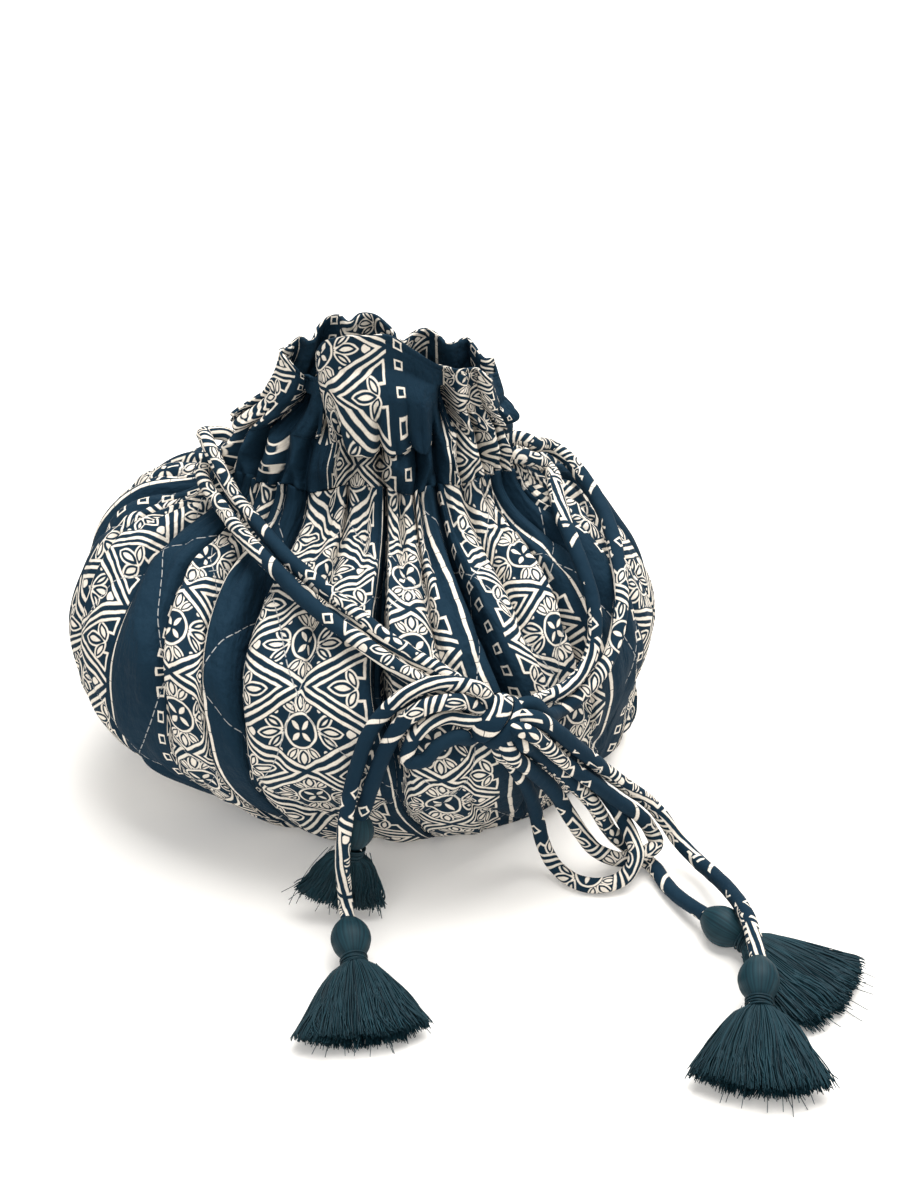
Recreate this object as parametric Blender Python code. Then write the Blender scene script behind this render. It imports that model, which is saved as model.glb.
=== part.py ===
"""Quilted drawstring pouch of gathered printed cloth, with cord bow and thread tassels."""
import bmesh
import bpy
import numpy as np
from mathutils import Vector

MM = 0.001

# driving dimensions, in millimetres
WALL = 3.0                # quilted cloth with its padding
FRILL_WALL = 1.8          # two layers of plain cloth
SEAM_GAP = 0.3            # clearance between touching pieces
CORD_R = 3.2              # cloth tube cord
KNOT_END_R = 2.3          # the cord where it is squeezed into the knot
CELL_COLUMNS = 4          # points round every ring of cloth, from one valley to the next
CASING_START = 1.065      # height fraction of the seam under the drawcord channel
CASING_END = 1.185        # height fraction of the seam over it
MOUTH = 1.45              # height fraction of the frill's free edge
CLOTH_PER_FRACTION = 170.0  # cloth length over one unit of height fraction at the neck
VALLEY_RISE = 0.34        # height fraction over which a valley deepens
RIDGE_PLEAT = 4.2         # finer pleat in the middle of each ridge, by the drawcord
CORD_BED = 2.6            # how far the front lies under the smooth bag, where the cords rest
CORD_BED_SIDES = (205.0, 345.0)

# rings of the bag: height fraction, centre x and y, half width and depth, height,
# and the cosine and sine parts (per thousand) of its second to fifth harmonics
RINGS = [
    (0.00, 0.0, 0.0, 81.1, 64.1, 0.0, (-8, 19, 8, 8, 3, -3, -5, 14)),
    (0.13, -6.6, 4.9, 101.2, 80.3, 8.0, (-13, 27, 12, 22, 21, -2, 2, 16)),
    (0.30, -19.3, 10.0, 120.4, 100.6, 34.0, (-17, 25, -5, 0, -9, 14, 19, -6)),
    (0.48, -23.3, 10.4, 129.3, 113.1, 68.0, (-10, 28, -5, 6, 7, 17, 9, -8)),
    (0.66, -28.2, 12.2, 120.9, 105.0, 100.0, (-11, 18, -2, 1, -6, -5, 8, 0)),
    (0.84, -26.0, 19.2, 100.7, 76.3, 122.0, (-10, 21, -14, 1, -13, 0, -11, -12)),
    (1.00, -21.5, 21.6, 73.1, 37.0, 132.0, (-3, 11, -5, 1, -3, 1, -3, -2)),
    (1.12, -21.0, 22.8, 64.5, 26.5, 148.0, (-2, 6, -2, 1, -1, 0, -1, -1)),
    (1.45, -14.0, 24.5, 54.0, 14.3, 202.0, (0, 0, 0, 0, 0, 0, 0, 0)),
]

# valleys between the gathers: angle at the casing and at the belly, depth at the casing and at
# the shoulder, height fraction where it has faded out, and sharpness
VALLEYS = [
    (2, 0, 6.5, 8.5, 0.48, 2.6), (15, 12, 8.0, 9.5, 0.40, 2.8), (29, 25, 6.5, 6.5, 0.55, 2.4),
    (43, 39, 8.0, 10.0, 0.38, 3.0), (58, 56, 6.5, 6.5, 0.56, 2.4), (73, 72, 8.0, 11.0, 0.40, 3.0),
    (88, 89, 6.5, 7.0, 0.55, 2.4), (103, 105, 8.0, 10.0, 0.38, 3.0), (118, 121, 6.5, 6.5, 0.58, 2.4),
    (132, 137, 8.0, 11.0, 0.40, 3.0), (147, 152, 6.5, 6.5, 0.55, 2.4), (161, 166, 8.0, 9.5, 0.42, 2.8),
    (176, 181, 6.5, 7.5, 0.50, 2.4), (192, 200, 8.0, 10.0, 0.38, 3.0), (207, 216, 6.5, 8.5, 0.50, 2.4),
    (222, 232, 9.0, 13.0, 0.40, 3.2), (234, 241, 6.5, 8.5, 0.52, 2.6), (246, 248, 9.0, 11.0, 0.34, 3.0),
    (262, 262.5, 6.5, 6.5, 0.58, 2.4), (276, 277, 11.0, 20.0, 0.38, 4.5), (286, 288, 7.0, 8.5, 0.50, 2.4),
    (295, 301, 9.0, 15.0, 0.36, 3.4), (308, 312, 6.5, 8.5, 0.52, 2.4), (320, 324, 9.0, 14.0, 0.38, 3.2),
    (333, 336, 6.5, 7.0, 0.56, 2.4), (346, 347, 8.0, 10.5, 0.40, 2.8),
]

# puckers of the seam round the base: how many, and how deep
BASE_PUCKERS = 22
BASE_PUCKER_DEPTH = 1.6

# free edge of the frill: front wall from left to right, then the back wall
FRILL_EDGE = [
    (-55, 29, 189), (-58, 21, 191), (-54, 12, 190), (-48.5, 13, 184), (-46.5, 20, 180), (-44, 14, 182),
    (-41.5, 9, 184), (-38, 12, 182), (-37, 20, 180), (-40.5, 16, 184), (-42, 8, 194), (-38, 3.5, 203),
    (-30, 1.5, 206), (-20, 1, 206), (-11, 3, 204.5), (-1, 6, 197), (7, 10, 190), (11, 17, 185), (7, 23, 183),
    (11.5, 14, 186), (15.5, 8.5, 188), (19, 11, 187), (20.5, 18, 184), (23.5, 20, 183), (25.5, 12, 185),
    (29, 10.5, 183), (31.5, 17, 180), (30.5, 24, 178), (34, 29, 177), (31, 33, 181), (27.5, 28, 184),
    (24, 33, 187), (20, 37, 189), (15.5, 31, 190), (12, 27, 191), (8.5, 34, 192), (3, 39, 193), (-3, 34, 193),
    (-7, 28, 192), (-12, 35, 195), (-18, 40, 198), (-25, 37, 200), (-29, 29, 200), (-33, 36, 200),
    (-38, 39, 198), (-43, 34, 195), (-46, 27, 193), (-50, 34, 191),
]
FRILL_FLARE = 2.1         # how soon the frill's folds open over the seam
# sides of the broad front flap: a place on the free edge, and where its cloth meets the seam
FLAP_SIDES = [((-42, 8), -33.0), ((7, 10), 8.0)]

# pockets in the casing where the cords come out: angle, and half width in degrees
EXITS = [(180, 14), (0, 14)]
POCKET_DEPTH = 6.0
POCKET_EDGE = 0.03        # height fraction over which a pocket deepens
# each strand that comes out of a pocket: angle and height fraction
EXIT_STRANDS = {
    "left_strand_a": (189.5, 1.085), "left_strand_b": (171.0, 1.125),
    "right_strand_a": (350.0, 1.085), "right_strand_b": (9.0, 1.115),
}
SOCKET_GAP = 0.35         # from a cord's flat end to the knot
POCKET_GAP = 0.55         # and to the curved bottom of its pocket

KNOT_CENTRE = (31.8, -98.3, 88.3)
KNOT_FRAME = ((0.884, 0.468, 0.0), (-0.179, 0.337, 0.924), (0.433, -0.817, 0.382))
KNOT_AXES = (11.2, 9.2, 7.7)
KNOT_GROOVE = 0.03

# cord centre lines, from the bag or the knot outward
CORDS = {
    "left_strand_a": [(-90, 17.4, 138.2), (-92.5, 13.8, 138.2), (-92, 7.8, 137.4), (-86.6, -2.3, 134.3),
        (-80.7, -12.6, 132.2), (-74.9, -23, 130.9), (-68.8, -33.3, 129.8), (-62.1, -43.1, 128.6),
        (-55, -52.7, 127), (-47.6, -61.6, 124.2), (-39.2, -69.6, 121), (-30.1, -76.5, 117.6),
        (-20.6, -82.6, 113.7), (-11, -88, 109.1), (-0.7, -91.9, 104), (9.8, -94.2, 98.5),
        (18.4, -95.3, 91.3), (20.6, -95.8, 88.5), (22.5, -96.5, 85.7)],
    "left_strand_b": [(-90, 27.4, 145.2), (-92, 25, 149.6), (-90.5, 16.4, 151.6), (-84.5, 5.2, 144.6),
        (-76.9, -5.5, 135.8), (-70.5, -15, 133), (-64.2, -24.9, 131.4), (-58.1, -35, 130.1),
        (-51.6, -44.8, 128.8), (-44, -53.7, 127.2), (-35.6, -61.8, 124.6), (-26.9, -69.2, 121.3),
        (-18, -76.1, 117.5), (-8.6, -81.9, 113.1), (1, -86.3, 108.7), (11.3, -89, 103.9),
        (20.3, -91, 97.2), (22.7, -91.8, 94.3), (24.9, -93, 91.2)],
    "right_strand_a": [(49, 18.2, 141), (51.1, 20.7, 137.9), (53.9, 24.8, 134.2), (56.8, 22.4, 132),
        (58.1, 11.1, 131), (59, -1.7, 129.9), (61, -13.4, 127.7), (64.4, -23.7, 123.1),
        (68.2, -32.9, 116.5), (71.3, -41.4, 108.5), (72.5, -49.4, 99.7), (70.5, -57.3, 91.4),
        (65.2, -65.7, 86.1), (57.1, -74.1, 84.9), (46.8, -81.5, 84.8), (40, -89.6, 83.8),
        (39.6, -91.8, 84)],
    "right_strand_b": [(50, 25.8, 143.2), (50.8, 29.4, 141.5), (52.6, 36.8, 138.1), (57.7, 43.1, 133.5),
        (64.8, 40, 129.4), (71.1, 30.8, 125.6), (76.2, 20.1, 121.8), (80, 9.3, 118.4), (82.2, -2, 115.2),
        (83.7, -13.1, 110.9), (84.6, -23.5, 104.9), (84.2, -33.3, 97.8), (82.1, -42.6, 90.4),
        (77.8, -51.6, 83.9), (71.5, -60.7, 79.6), (63.8, -69.8, 77.7), (56.2, -78.8, 78.1),
        (51.4, -88.8, 83.6), (43.6, -93, 90.2), (41.2, -94.4, 93)],
    "tail_left_front": [(27.7, -96.2, 97.1), (24.7, -96, 99.6), (17.8, -96.2, 103.9), (6.6, -98.6, 106),
        (-4.2, -101.2, 102.6), (-13.1, -103.8, 95.2), (-19.4, -107, 85.6), (-23.2, -109.8, 74.5),
        (-26.1, -112, 63.1), (-28, -117.5, 53.5), (-29, -121.5, 44), (-29.5, -123, 34),
        (-29.2, -123.4, 26), (-28.8, -124.4, 20), (-28.2, -127.3, 16), (-27.3, -132.5, 14.2)],
    "tail_left_rear": [(23.1, -97.6, 94.2), (20.5, -99.3, 96.6), (14.5, -102.2, 100.2),
        (3.7, -104.7, 99.8), (-5.7, -106.9, 93.1), (-11.7, -109, 82.9), (-15.8, -110.3, 71.5),
        (-19.3, -110.8, 60.2), (-21.4, -110.2, 52.8), (-22.7, -109.3, 49)],
    "loop_left": [(20.8, -101.3, 90.1), (18.4, -101.5, 91.2), (13.1, -102.3, 93.1), (4.7, -105.4, 92.1),
        (-2.2, -109, 85.5), (-3.2, -111.2, 78.4), (2.2, -110.9, 78.4), (9.1, -108.6, 84.5),
        (17.4, -105.1, 85.7), (20.1, -103.5, 84.6), (22.6, -101.6, 83.3)],
    "loop_right_lower": [(31.6, -101, 78.9), (33.1, -99.6, 75.5), (35.7, -96.5, 68.5),
        (40.2, -92.7, 58.2), (44.3, -89.2, 47.6), (47.3, -85.7, 36.3), (49.5, -83.1, 24.6),
        (52, -83.6, 13.5), (56.7, -88.8, 5.9), (64.5, -96, 3.5), (74.8, -99.1, 3.5), (84.9, -97.6, 6.3),
        (90.3, -93.4, 14.4), (88.4, -85.9, 19.6), (84, -80.3, 26.1), (77.7, -80.3, 36.6),
        (71.2, -82.2, 47.2), (64.4, -84.6, 57.2), (57.4, -87.6, 66.9), (50.4, -91.8, 76),
        (44.2, -96.8, 83.1), (42.2, -97.9, 84.8)],
    "loop_right_upper": [(34.1, -105.2, 82.3), (36.4, -104.1, 77.8), (40.8, -101.3, 70.1),
        (46.5, -95.9, 60.8), (52, -91.4, 51.8), (57.4, -88.5, 41.8), (62.4, -86.6, 30.9),
        (67.9, -85.8, 20.1), (75.2, -86.3, 10.9), (84.9, -87.5, 7.6), (94.5, -87.3, 10.9),
        (99.8, -81.4, 11.4), (97.3, -79.5, 17.1), (91.7, -82.3, 27.1), (83.7, -85.4, 36.2),
        (76.1, -88.4, 45), (68.5, -91.1, 53.7), (60.8, -93.8, 62.4), (54.2, -97.4, 71.5),
        (48.2, -101.8, 81.4), (42.5, -103.8, 87.4), (38, -104.2, 89.3)],
    "tail_right_front": [(41.1, -99.8, 91.3), (44.9, -98.9, 89.9), (51.2, -96.9, 85.4),
        (58.7, -93.7, 76.3), (65.5, -90.1, 67), (72.5, -86.4, 57.9), (79.4, -82.8, 48.7),
        (86.9, -79.6, 39.7), (95.1, -77.2, 31.3), (102.6, -77.7, 21.9), (109.4, -81.6, 13),
        (116.2, -89.5, 9.1), (121.5, -100.3, 11), (125.8, -113.5, 14.5), (128.8, -127, 18.2),
        (130.4, -139, 20), (131.2, -150, 19.6), (131.4, -158.5, 18.5)],
    "tail_right_rear": [(38.9, -102.4, 83), (41, -101.7, 80.7), (44.1, -98.4, 75.5), (49.6, -92.9, 66.9),
        (56.5, -89.7, 57.8), (63.7, -87.8, 48.3), (70.6, -86.2, 38.6), (75.9, -84.4, 28.2),
        (81.2, -81.8, 16.9), (90.3, -78.8, 5.2), (98.2, -86.6, 3.4), (102.9, -98.6, 3.6),
        (108.2, -109.5, 5.2), (114, -119.2, 7.8), (116.3, -122.6, 8.6)],
}

# tassels: end of the cord, tip of the skirt, head radius and length, skirt half width and thickness
TASSELS = {
    "left_front": ((-27.3, -132.5, 14.2), (-18.5, -189.0, 5.4), 8.0, 18.0, 26.0, 4.8),
    "left_rear": ((-22.7, -109.3, 49.0), (-33.0, -114.0, 6.0), 7.0, 15.0, 18.0, 3.5),
    "right_front": ((131.4, -158.5, 18.5), (125.5, -214.0, 6.0), 8.0, 18.0, 27.0, 5.0),
    "right_rear": ((116.3, -122.6, 8.6), (164.9, -167.4, 4.8), 8.0, 18.0, 24.0, 4.2),
}
BINDING_R = 5.0
BINDING_LENGTH = 3.2
SKIRT_NECK_R = 4.6
SKIRT_FLUTES = 7
SKIRT_FLUTE_DEPTH = 0.10

COLOURS = {
    "quilted_body": (0.035, 0.075, 0.13), "base_panel": (0.03, 0.065, 0.11),
    "casing": (0.03, 0.065, 0.12), "frill": (0.04, 0.08, 0.13),
    "cord": (0.05, 0.09, 0.14), "tassel": (0.012, 0.055, 0.08), "binding": (0.01, 0.045, 0.065),
}


def material(name, colour):
    mat = bpy.data.materials.new(name)
    mat.use_nodes = True
    shader = mat.node_tree.nodes["Principled BSDF"]
    shader.inputs["Base Color"].default_value = (*colour, 1.0)
    shader.inputs["Roughness"].default_value = 0.85
    return mat


def add_mesh(name, points, faces, colour):
    """One named object from points in millimetres, with its normals turned outward."""
    bm = bmesh.new()
    verts = [bm.verts.new(Vector(p) * MM) for p in np.asarray(points).tolist()]
    for face in faces:
        bm.faces.new([verts[i] for i in face])
    bmesh.ops.triangulate(bm, faces=bm.faces[:])
    bmesh.ops.recalc_face_normals(bm, faces=bm.faces[:])
    mesh = bpy.data.meshes.new(name)
    bm.to_mesh(mesh)
    bm.free()
    mesh.materials.append(material(name, colour))
    obj = bpy.data.objects.new(name, mesh)
    bpy.context.scene.collection.objects.link(obj)
    return obj


def smooth_through(keys, values, at):
    """A smooth curve through values at increasing keys, read at other places."""
    keys = np.asarray(keys, float)
    values = np.asarray(values, float)
    step = np.diff(keys)[:, None]
    slope = np.diff(values, axis=0) / step
    tangent = np.zeros_like(values)
    tangent[1:-1] = (slope[:-1] * step[1:] + slope[1:] * step[:-1]) / (step[1:] + step[:-1])
    tangent[0] = slope[0]
    tangent[-1] = slope[-1]
    i = np.clip(np.searchsorted(keys, at, side="right") - 1, 0, len(keys) - 2)
    h = step[i]
    s = ((np.asarray(at) - keys[i])[:, None]) / h
    a = (2 * s**3 - 3 * s**2 + 1) * values[i] + (s**3 - 2 * s**2 + s) * h * tangent[i]
    return a + (3 * s**2 - 2 * s**3) * values[i + 1] + (s**3 - s**2) * h * tangent[i + 1]


def smoothstep(x, low, high):
    s = np.clip((x - low) / (high - low), 0.0, 1.0)
    return s * s * (3 - 2 * s)


def ring_points(row, angle):
    _, cx, cy, rx, ry, z, parts = row
    m = np.ones_like(angle)
    for k in range(4):
        m += parts[2 * k] * 0.001 * np.cos((k + 2) * angle)
        m += parts[2 * k + 1] * 0.001 * np.sin((k + 2) * angle)
    x = cx + rx * m * np.cos(angle)
    y = cy + ry * m * np.sin(angle)
    return np.stack([x, y, np.full_like(angle, z)], -1)


def column_angles(t):
    """Angles of the columns at each height: they follow the valleys. (rows, columns), in radians."""
    v = np.array(VALLEYS)
    turn = smoothstep(1.0 - np.asarray(t), 0.0, 0.4)[:, None]
    valley = v[:, 0] + (v[:, 1] - v[:, 0]) * turn
    ahead = np.roll(valley, -1, axis=1)
    ahead[:, -1] += 360.0
    share = 0.5 - 0.5 * np.cos(np.pi * np.arange(CELL_COLUMNS) / CELL_COLUMNS)
    angle = valley[..., None] + (ahead - valley)[..., None] * share
    return np.radians(angle.reshape(len(t), -1))


def smooth_bag(angle, t):
    """Points and outward normals of the bag without its folds. angle is (rows, columns)."""
    rings = np.stack([ring_points(row, angle) for row in RINGS])
    keys = [row[0] for row in RINGS]

    def at(height):
        weights = smooth_through(keys, np.eye(len(RINGS)), height)
        return np.einsum("rk,krcx->rcx", weights, rings)

    grid = at(t)
    near, far = at(np.clip(t + 0.004, 0, MOUTH)), at(np.clip(t - 0.004, 0, MOUTH))
    along = np.roll(grid, -1, 1) - np.roll(grid, 1, 1)
    normal = np.cross(along, near - far)
    normal /= np.linalg.norm(normal, axis=-1, keepdims=True)
    return grid, normal


def angle_between(angle, centre_deg):
    return (np.degrees(angle) - centre_deg + 180.0) % 360.0 - 180.0


def gather_depth(angle, t):
    """How far the drawn-in cloth lies under the smooth bag: sharp valleys between round ridges."""
    v = np.array(VALLEYS)
    tt = t[:, None] + 0 * angle
    turn = smoothstep(1.0 - tt, 0.0, 0.4)
    behind = np.full(angle.shape, 360.0)
    before = np.full(angle.shape, 360.0)
    depth_behind, depth_before, cell = np.zeros_like(tt), np.zeros_like(tt), np.zeros_like(tt)
    for k, (at_casing, at_belly, d_casing, d_shoulder, fade, sharp) in enumerate(VALLEYS):
        off = angle_between(angle, at_casing + (at_belly - at_casing) * turn)
        deep = d_shoulder + (d_casing - d_shoulder) * smoothstep(tt, 0.84, 1.02)
        deep = deep * smoothstep(tt, fade, min(0.9, fade + VALLEY_RISE)) + 0.6 * smoothstep(tt, 0.1, 0.3)
        closer = (off >= -1e-6) & (off < behind)
        behind = np.where(closer, off, behind)
        depth_behind = np.where(closer, deep, depth_behind)
        cell = np.where(closer, k, cell)
        closer = (off < -1e-6) & (-off < before)
        before = np.where(closer, -off, before)
        depth_before = np.where(closer, deep, depth_before)
    x = np.clip(2.0 * behind / (behind + before) - 1.0, -1.0, 1.0)
    ahead = (cell.astype(int) + 1) % len(v)
    sharp = np.where(x < 0, v[cell.astype(int), 5], v[ahead, 5])
    depth = np.where(x < 0, depth_behind, depth_before) * np.abs(x) ** sharp
    fine = RIDGE_PLEAT * smoothstep(tt, 0.74, 1.0) * (1.0 + 0.45 * np.sin(1.7 * cell))
    depth = depth + fine * (1.0 - np.abs(x)) ** 2.4
    side = (np.degrees(angle) - CORD_BED_SIDES[0]) % 360.0
    span = CORD_BED_SIDES[1] - CORD_BED_SIDES[0]
    bed = smoothstep(side, 0.0, 14.0) * (1.0 - smoothstep(side, span - 14.0, span))
    return depth + CORD_BED * bed * smoothstep(tt, 0.40, 0.58) * (1.0 - 0.6 * smoothstep(tt, 0.86, 1.0))


def base_pucker(angle, t):
    tt = t[:, None] + 0 * angle
    wave = 0.5 - 0.5 * np.cos(BASE_PUCKERS * angle + 1.3 * np.sin(2 * angle))
    hump = smoothstep(tt, 0.02, 0.10) * (1.0 - smoothstep(tt, 0.16, 0.34))
    return BASE_PUCKER_DEPTH * wave * hump


def exit_pocket(angle, t):
    """One inside the pockets where the cords come out, and nought elsewhere."""
    tt = t[:, None] + 0 * angle
    inside = np.zeros_like(tt)
    for centre, width in EXITS:
        off = np.abs(angle_between(angle, centre)) / width
        inside += (1.0 - smoothstep(off, 1.0, 1.7)) * smoothstep(tt, CASING_START - POCKET_EDGE, CASING_START + 0.01)
    return inside


def fold_depth(angle, t):
    pocket = exit_pocket(angle, t)
    folds = gather_depth(angle, t) + base_pucker(angle, t)
    return folds * (1.0 - pocket) + POCKET_DEPTH * pocket


def closed_shell(name, outer, inner, colour):
    """A hollow ring of cloth from two grids of rows, closed along both free edges."""
    rows_out, columns = outer.shape[:2]
    rows_in = inner.shape[0]
    points = np.concatenate([outer.reshape(-1, 3), inner.reshape(-1, 3)])
    base = rows_out * columns
    faces = []
    for j in range(columns):
        k = (j + 1) % columns
        for i in range(rows_out - 1):
            faces.append((i * columns + j, i * columns + k, (i + 1) * columns + k, (i + 1) * columns + j))
        for i in range(rows_in - 1):
            a = base + i * columns
            faces.append((a + j, a + columns + j, a + columns + k, a + k))
        top_out = (rows_out - 1) * columns
        top_in = base + (rows_in - 1) * columns
        faces.append((top_out + j, top_out + k, top_in + k, top_in + j))
        faces.append((base + j, base + k, k, j))
    return add_mesh(name, points, faces, colour)


def cloth_point_grid(t, wall, angle=None):
    """Points of the cloth at each height, a wall's thickness in from its outer face."""
    angle = column_angles(t) if angle is None else angle
    grid, normal = smooth_bag(angle, t)
    depth = fold_depth(angle, t)
    low = t[:, None] < 0.02
    normal = np.where(low[..., None], np.array([0.0, 0.0, -1.0]), normal)
    return grid - normal * (depth + wall)[..., None]


def quilted_body():
    top = CASING_START - 0.5 * SEAM_GAP / CLOTH_PER_FRACTION
    t_out = np.array([0.0, 0.06, 0.13, 0.21, 0.30, 0.40, 0.49, 0.58, 0.67, 0.76, 0.84, 0.91, 0.97, 1.02, top])
    t_in = np.array([0.0, 0.14, 0.30, 0.40, 0.49, 0.58, 0.67, 0.76, 0.84, 0.93, 1.0, top])
    outer = cloth_point_grid(t_out, 0.0)
    inner = cloth_point_grid(t_in, WALL)
    return closed_shell("quilted_body", outer, inner, COLOURS["quilted_body"])


def base_panel():
    edge = ring_points(RINGS[0], column_angles(np.array([0.0]))[0])
    shrink = 1.0 - (SEAM_GAP + 0.1) / RINGS[0][4]
    bottom = edge * np.array([shrink, shrink, 0.0])
    top = bottom + np.array([0.0, 0.0, WALL])
    n = len(edge)
    points = np.concatenate([bottom, top])
    faces = [tuple(range(n)), tuple(range(n, 2 * n))]
    faces += [(j, (j + 1) % n, n + (j + 1) % n, n + j) for j in range(n)]
    return add_mesh("base_panel", points, faces, COLOURS["base_panel"])


def casing():
    low = CASING_START + 0.5 * SEAM_GAP / CLOTH_PER_FRACTION
    high = CASING_END - 0.5 * SEAM_GAP / CLOTH_PER_FRACTION
    outer = cloth_point_grid(np.linspace(low, high, 4), 0.0)
    inner = cloth_point_grid(np.linspace(low, high, 3), WALL)
    return closed_shell("casing", outer, inner, COLOURS["casing"])


def closed_curve(points, count):
    """Evenly spaced points along a smooth closed curve."""
    p = np.array(points, float)
    before, after, later = np.roll(p, 1, 0), np.roll(p, -1, 0), np.roll(p, -2, 0)
    s = np.linspace(0, 1, 40, endpoint=False)[None, :, None]
    straight = (after - before)[:, None] * s
    second = (2 * before - 5 * p + 4 * after - later)[:, None] * s**2
    third = (3 * p - before - 3 * after + later)[:, None] * s**3
    dense = (0.5 * (2 * p[:, None] + straight + second + third)).reshape(-1, 3)
    dense = np.vstack([dense, dense[:1]])
    arc = np.concatenate([[0], np.cumsum(np.linalg.norm(np.diff(dense, axis=0), axis=1))])
    at = np.arange(count) / count * arc[-1]
    return np.stack([np.interp(at, arc, dense[:, k]) for k in range(3)], -1)


def frill_edge_at(angle):
    """The point of the free edge that the cloth at each angle of the casing rises to."""
    edge = closed_curve(FRILL_EDGE, 800)
    ahead = np.roll(edge, -1, 0) - edge
    right = int(np.argmax(edge[:, 0]))
    way = np.where(np.arange(len(edge)) < right, 1.0, -1.0)
    weight = 0.28 * np.linalg.norm(ahead[:, :2], axis=1) + 0.9 * np.maximum(ahead[:, 0] * way, 0.0)
    share = np.concatenate([[0], np.cumsum(weight)[:-1]])
    turn = np.linspace(180, 540, 721)
    ring, _ = smooth_bag(np.radians(turn[:-1])[None], np.array([CASING_END]))
    ring = np.vstack([ring[0], ring[0, :1]])
    arc = np.concatenate([[0], np.cumsum(np.linalg.norm(np.diff(ring, axis=0), axis=1))])
    keys, places = [0.0], [0.0]
    for spot, seam_x in FLAP_SIDES:
        keys.append(share[np.argmin(np.linalg.norm(edge[:, :2] - spot, axis=1))])
        places.append(np.interp(seam_x, ring[:361, 0], arc[:361]))
    keys += [share[right], weight.sum()]
    place = np.interp(share, keys, places + [arc[360], arc[-1]])
    edge_turn = np.append(np.interp(place, arc, turn), 540.0)
    edge = np.vstack([edge, edge[:1]])
    at = (np.degrees(angle) - 180.0) % 360.0 + 180.0
    return np.stack([np.interp(at, edge_turn, edge[:, k]) for k in range(3)], -1)


def frill_grid(rows, wall):
    low = CASING_END + 0.5 * SEAM_GAP / CLOTH_PER_FRACTION
    seam = cloth_point_grid(np.array([low]), 0.0, column_angles(np.array([CASING_END])))[0]
    edge = frill_edge_at(column_angles(np.array([CASING_END]))[0])
    w = np.linspace(0.0, 1.0, rows)[:, None]
    grid = seam[None] + (edge - seam)[None] * (1.0 - (1.0 - w) ** FRILL_FLARE)[..., None]
    grid[..., 2] = seam[:, 2] + (edge[:, 2] - seam[:, 2])[None] * w
    along = np.roll(grid, -1, 1) - np.roll(grid, 1, 1)
    side = np.stack([along[..., 1], -along[..., 0], np.zeros_like(w + along[..., 0])], -1)
    side /= np.linalg.norm(side, axis=-1, keepdims=True)
    return grid - side * wall


def frill():
    return closed_shell("frill", frill_grid(8, 0.0), frill_grid(8, FRILL_WALL), COLOURS["frill"])


def knot_socket(point):
    """Where a strand meets the knot, and the knot's outward direction there."""
    frame = np.array(KNOT_FRAME)
    axes = np.array(KNOT_AXES)
    local = frame @ (np.asarray(point) - np.array(KNOT_CENTRE))
    local /= np.linalg.norm(local / axes)
    outward = local / axes**2
    outward /= np.linalg.norm(outward)
    return np.array(KNOT_CENTRE) + local @ frame, outward @ frame


def pocket_socket(angle_deg, t):
    """Where a strand leaves the bottom of its pocket, and the way out."""
    height = np.array([t])
    at = np.radians([[angle_deg - 1.0, angle_deg, angle_deg + 1.0]])
    point = cloth_point_grid(height, 0.0, at)[0, 1]
    angle = column_angles(height)
    _, normal = smooth_bag(angle, height)
    near = np.argmin(np.abs(angle_between(angle[0], angle_deg)))
    return point, normal[0, near]


def strand_line(name):
    """A cord's centre line, with its ends square to the knot and to its pocket."""
    line = np.array(CORDS[name], float)
    if name in EXIT_STRANDS:
        point, outward = pocket_socket(*EXIT_STRANDS[name])
        line = np.vstack([point + outward * POCKET_GAP, point + outward * 4.0, line[1:]])
    for end, beside in ((0, 1), (-1, -2)):
        if np.linalg.norm(line[end] - np.array(KNOT_CENTRE)) < 16.0:
            point, outward = knot_socket(line[end])
            line[end] = point + outward * SOCKET_GAP
            line[beside] = 0.5 * (line[beside] + point + outward * 4.5)
    return line


def tube(name, line, end_axis=None, sides=8, pitch=10.5):
    """A cloth cord along a smooth line, thinner at the knot and square to a tassel's head."""
    line = np.asarray(line, float)
    along = np.concatenate([[0.0], np.cumsum(np.linalg.norm(np.diff(line, axis=0), axis=1))])
    count = max(6, int(round(along[-1] / pitch)))
    centre = smooth_through(along, line, np.linspace(0.0, along[-1], count + 1))
    from_knot = np.linalg.norm(centre - np.array(KNOT_CENTRE), axis=1)
    radius = np.interp(from_knot, [11.0, 22.0], [KNOT_END_R, CORD_R])
    tangent = np.gradient(centre, axis=0)
    if end_axis is not None:
        tangent[-1] = end_axis
    for end, sign in ((0, 1.0), (-1, -1.0)):
        if from_knot[end] < 16.0:
            tangent[end] = sign * knot_socket(centre[end])[1]
    if name in EXIT_STRANDS:
        tangent[0] = pocket_socket(*EXIT_STRANDS[name])[1]
    tangent /= np.linalg.norm(tangent, axis=1, keepdims=True)
    side = np.cross(tangent[0], (0.0, 0.0, 1.0))
    if np.linalg.norm(side) < 0.1:
        side = np.cross(tangent[0], (0.0, 1.0, 0.0))
    turn = np.arange(sides) * 2 * np.pi / sides
    points = []
    for c, t, r in zip(centre, tangent, radius):
        side = side - t * np.dot(side, t)
        side /= np.linalg.norm(side)
        up = np.cross(t, side)
        points.append(c + r * (np.cos(turn)[:, None] * side + np.sin(turn)[:, None] * up))
    return loft(name, points, COLOURS["cord"])


def loft(name, rings, colour):
    """A solid through rings of equal point count, with flat ends."""
    n = len(rings[0])
    faces = [tuple(range(n)), tuple(range((len(rings) - 1) * n, len(rings) * n))]
    for i in range(len(rings) - 1):
        for j in range(n):
            k = (j + 1) % n
            faces.append((i * n + j, i * n + k, (i + 1) * n + k, (i + 1) * n + j))
    return add_mesh(name, np.concatenate(rings), faces, colour)


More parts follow.
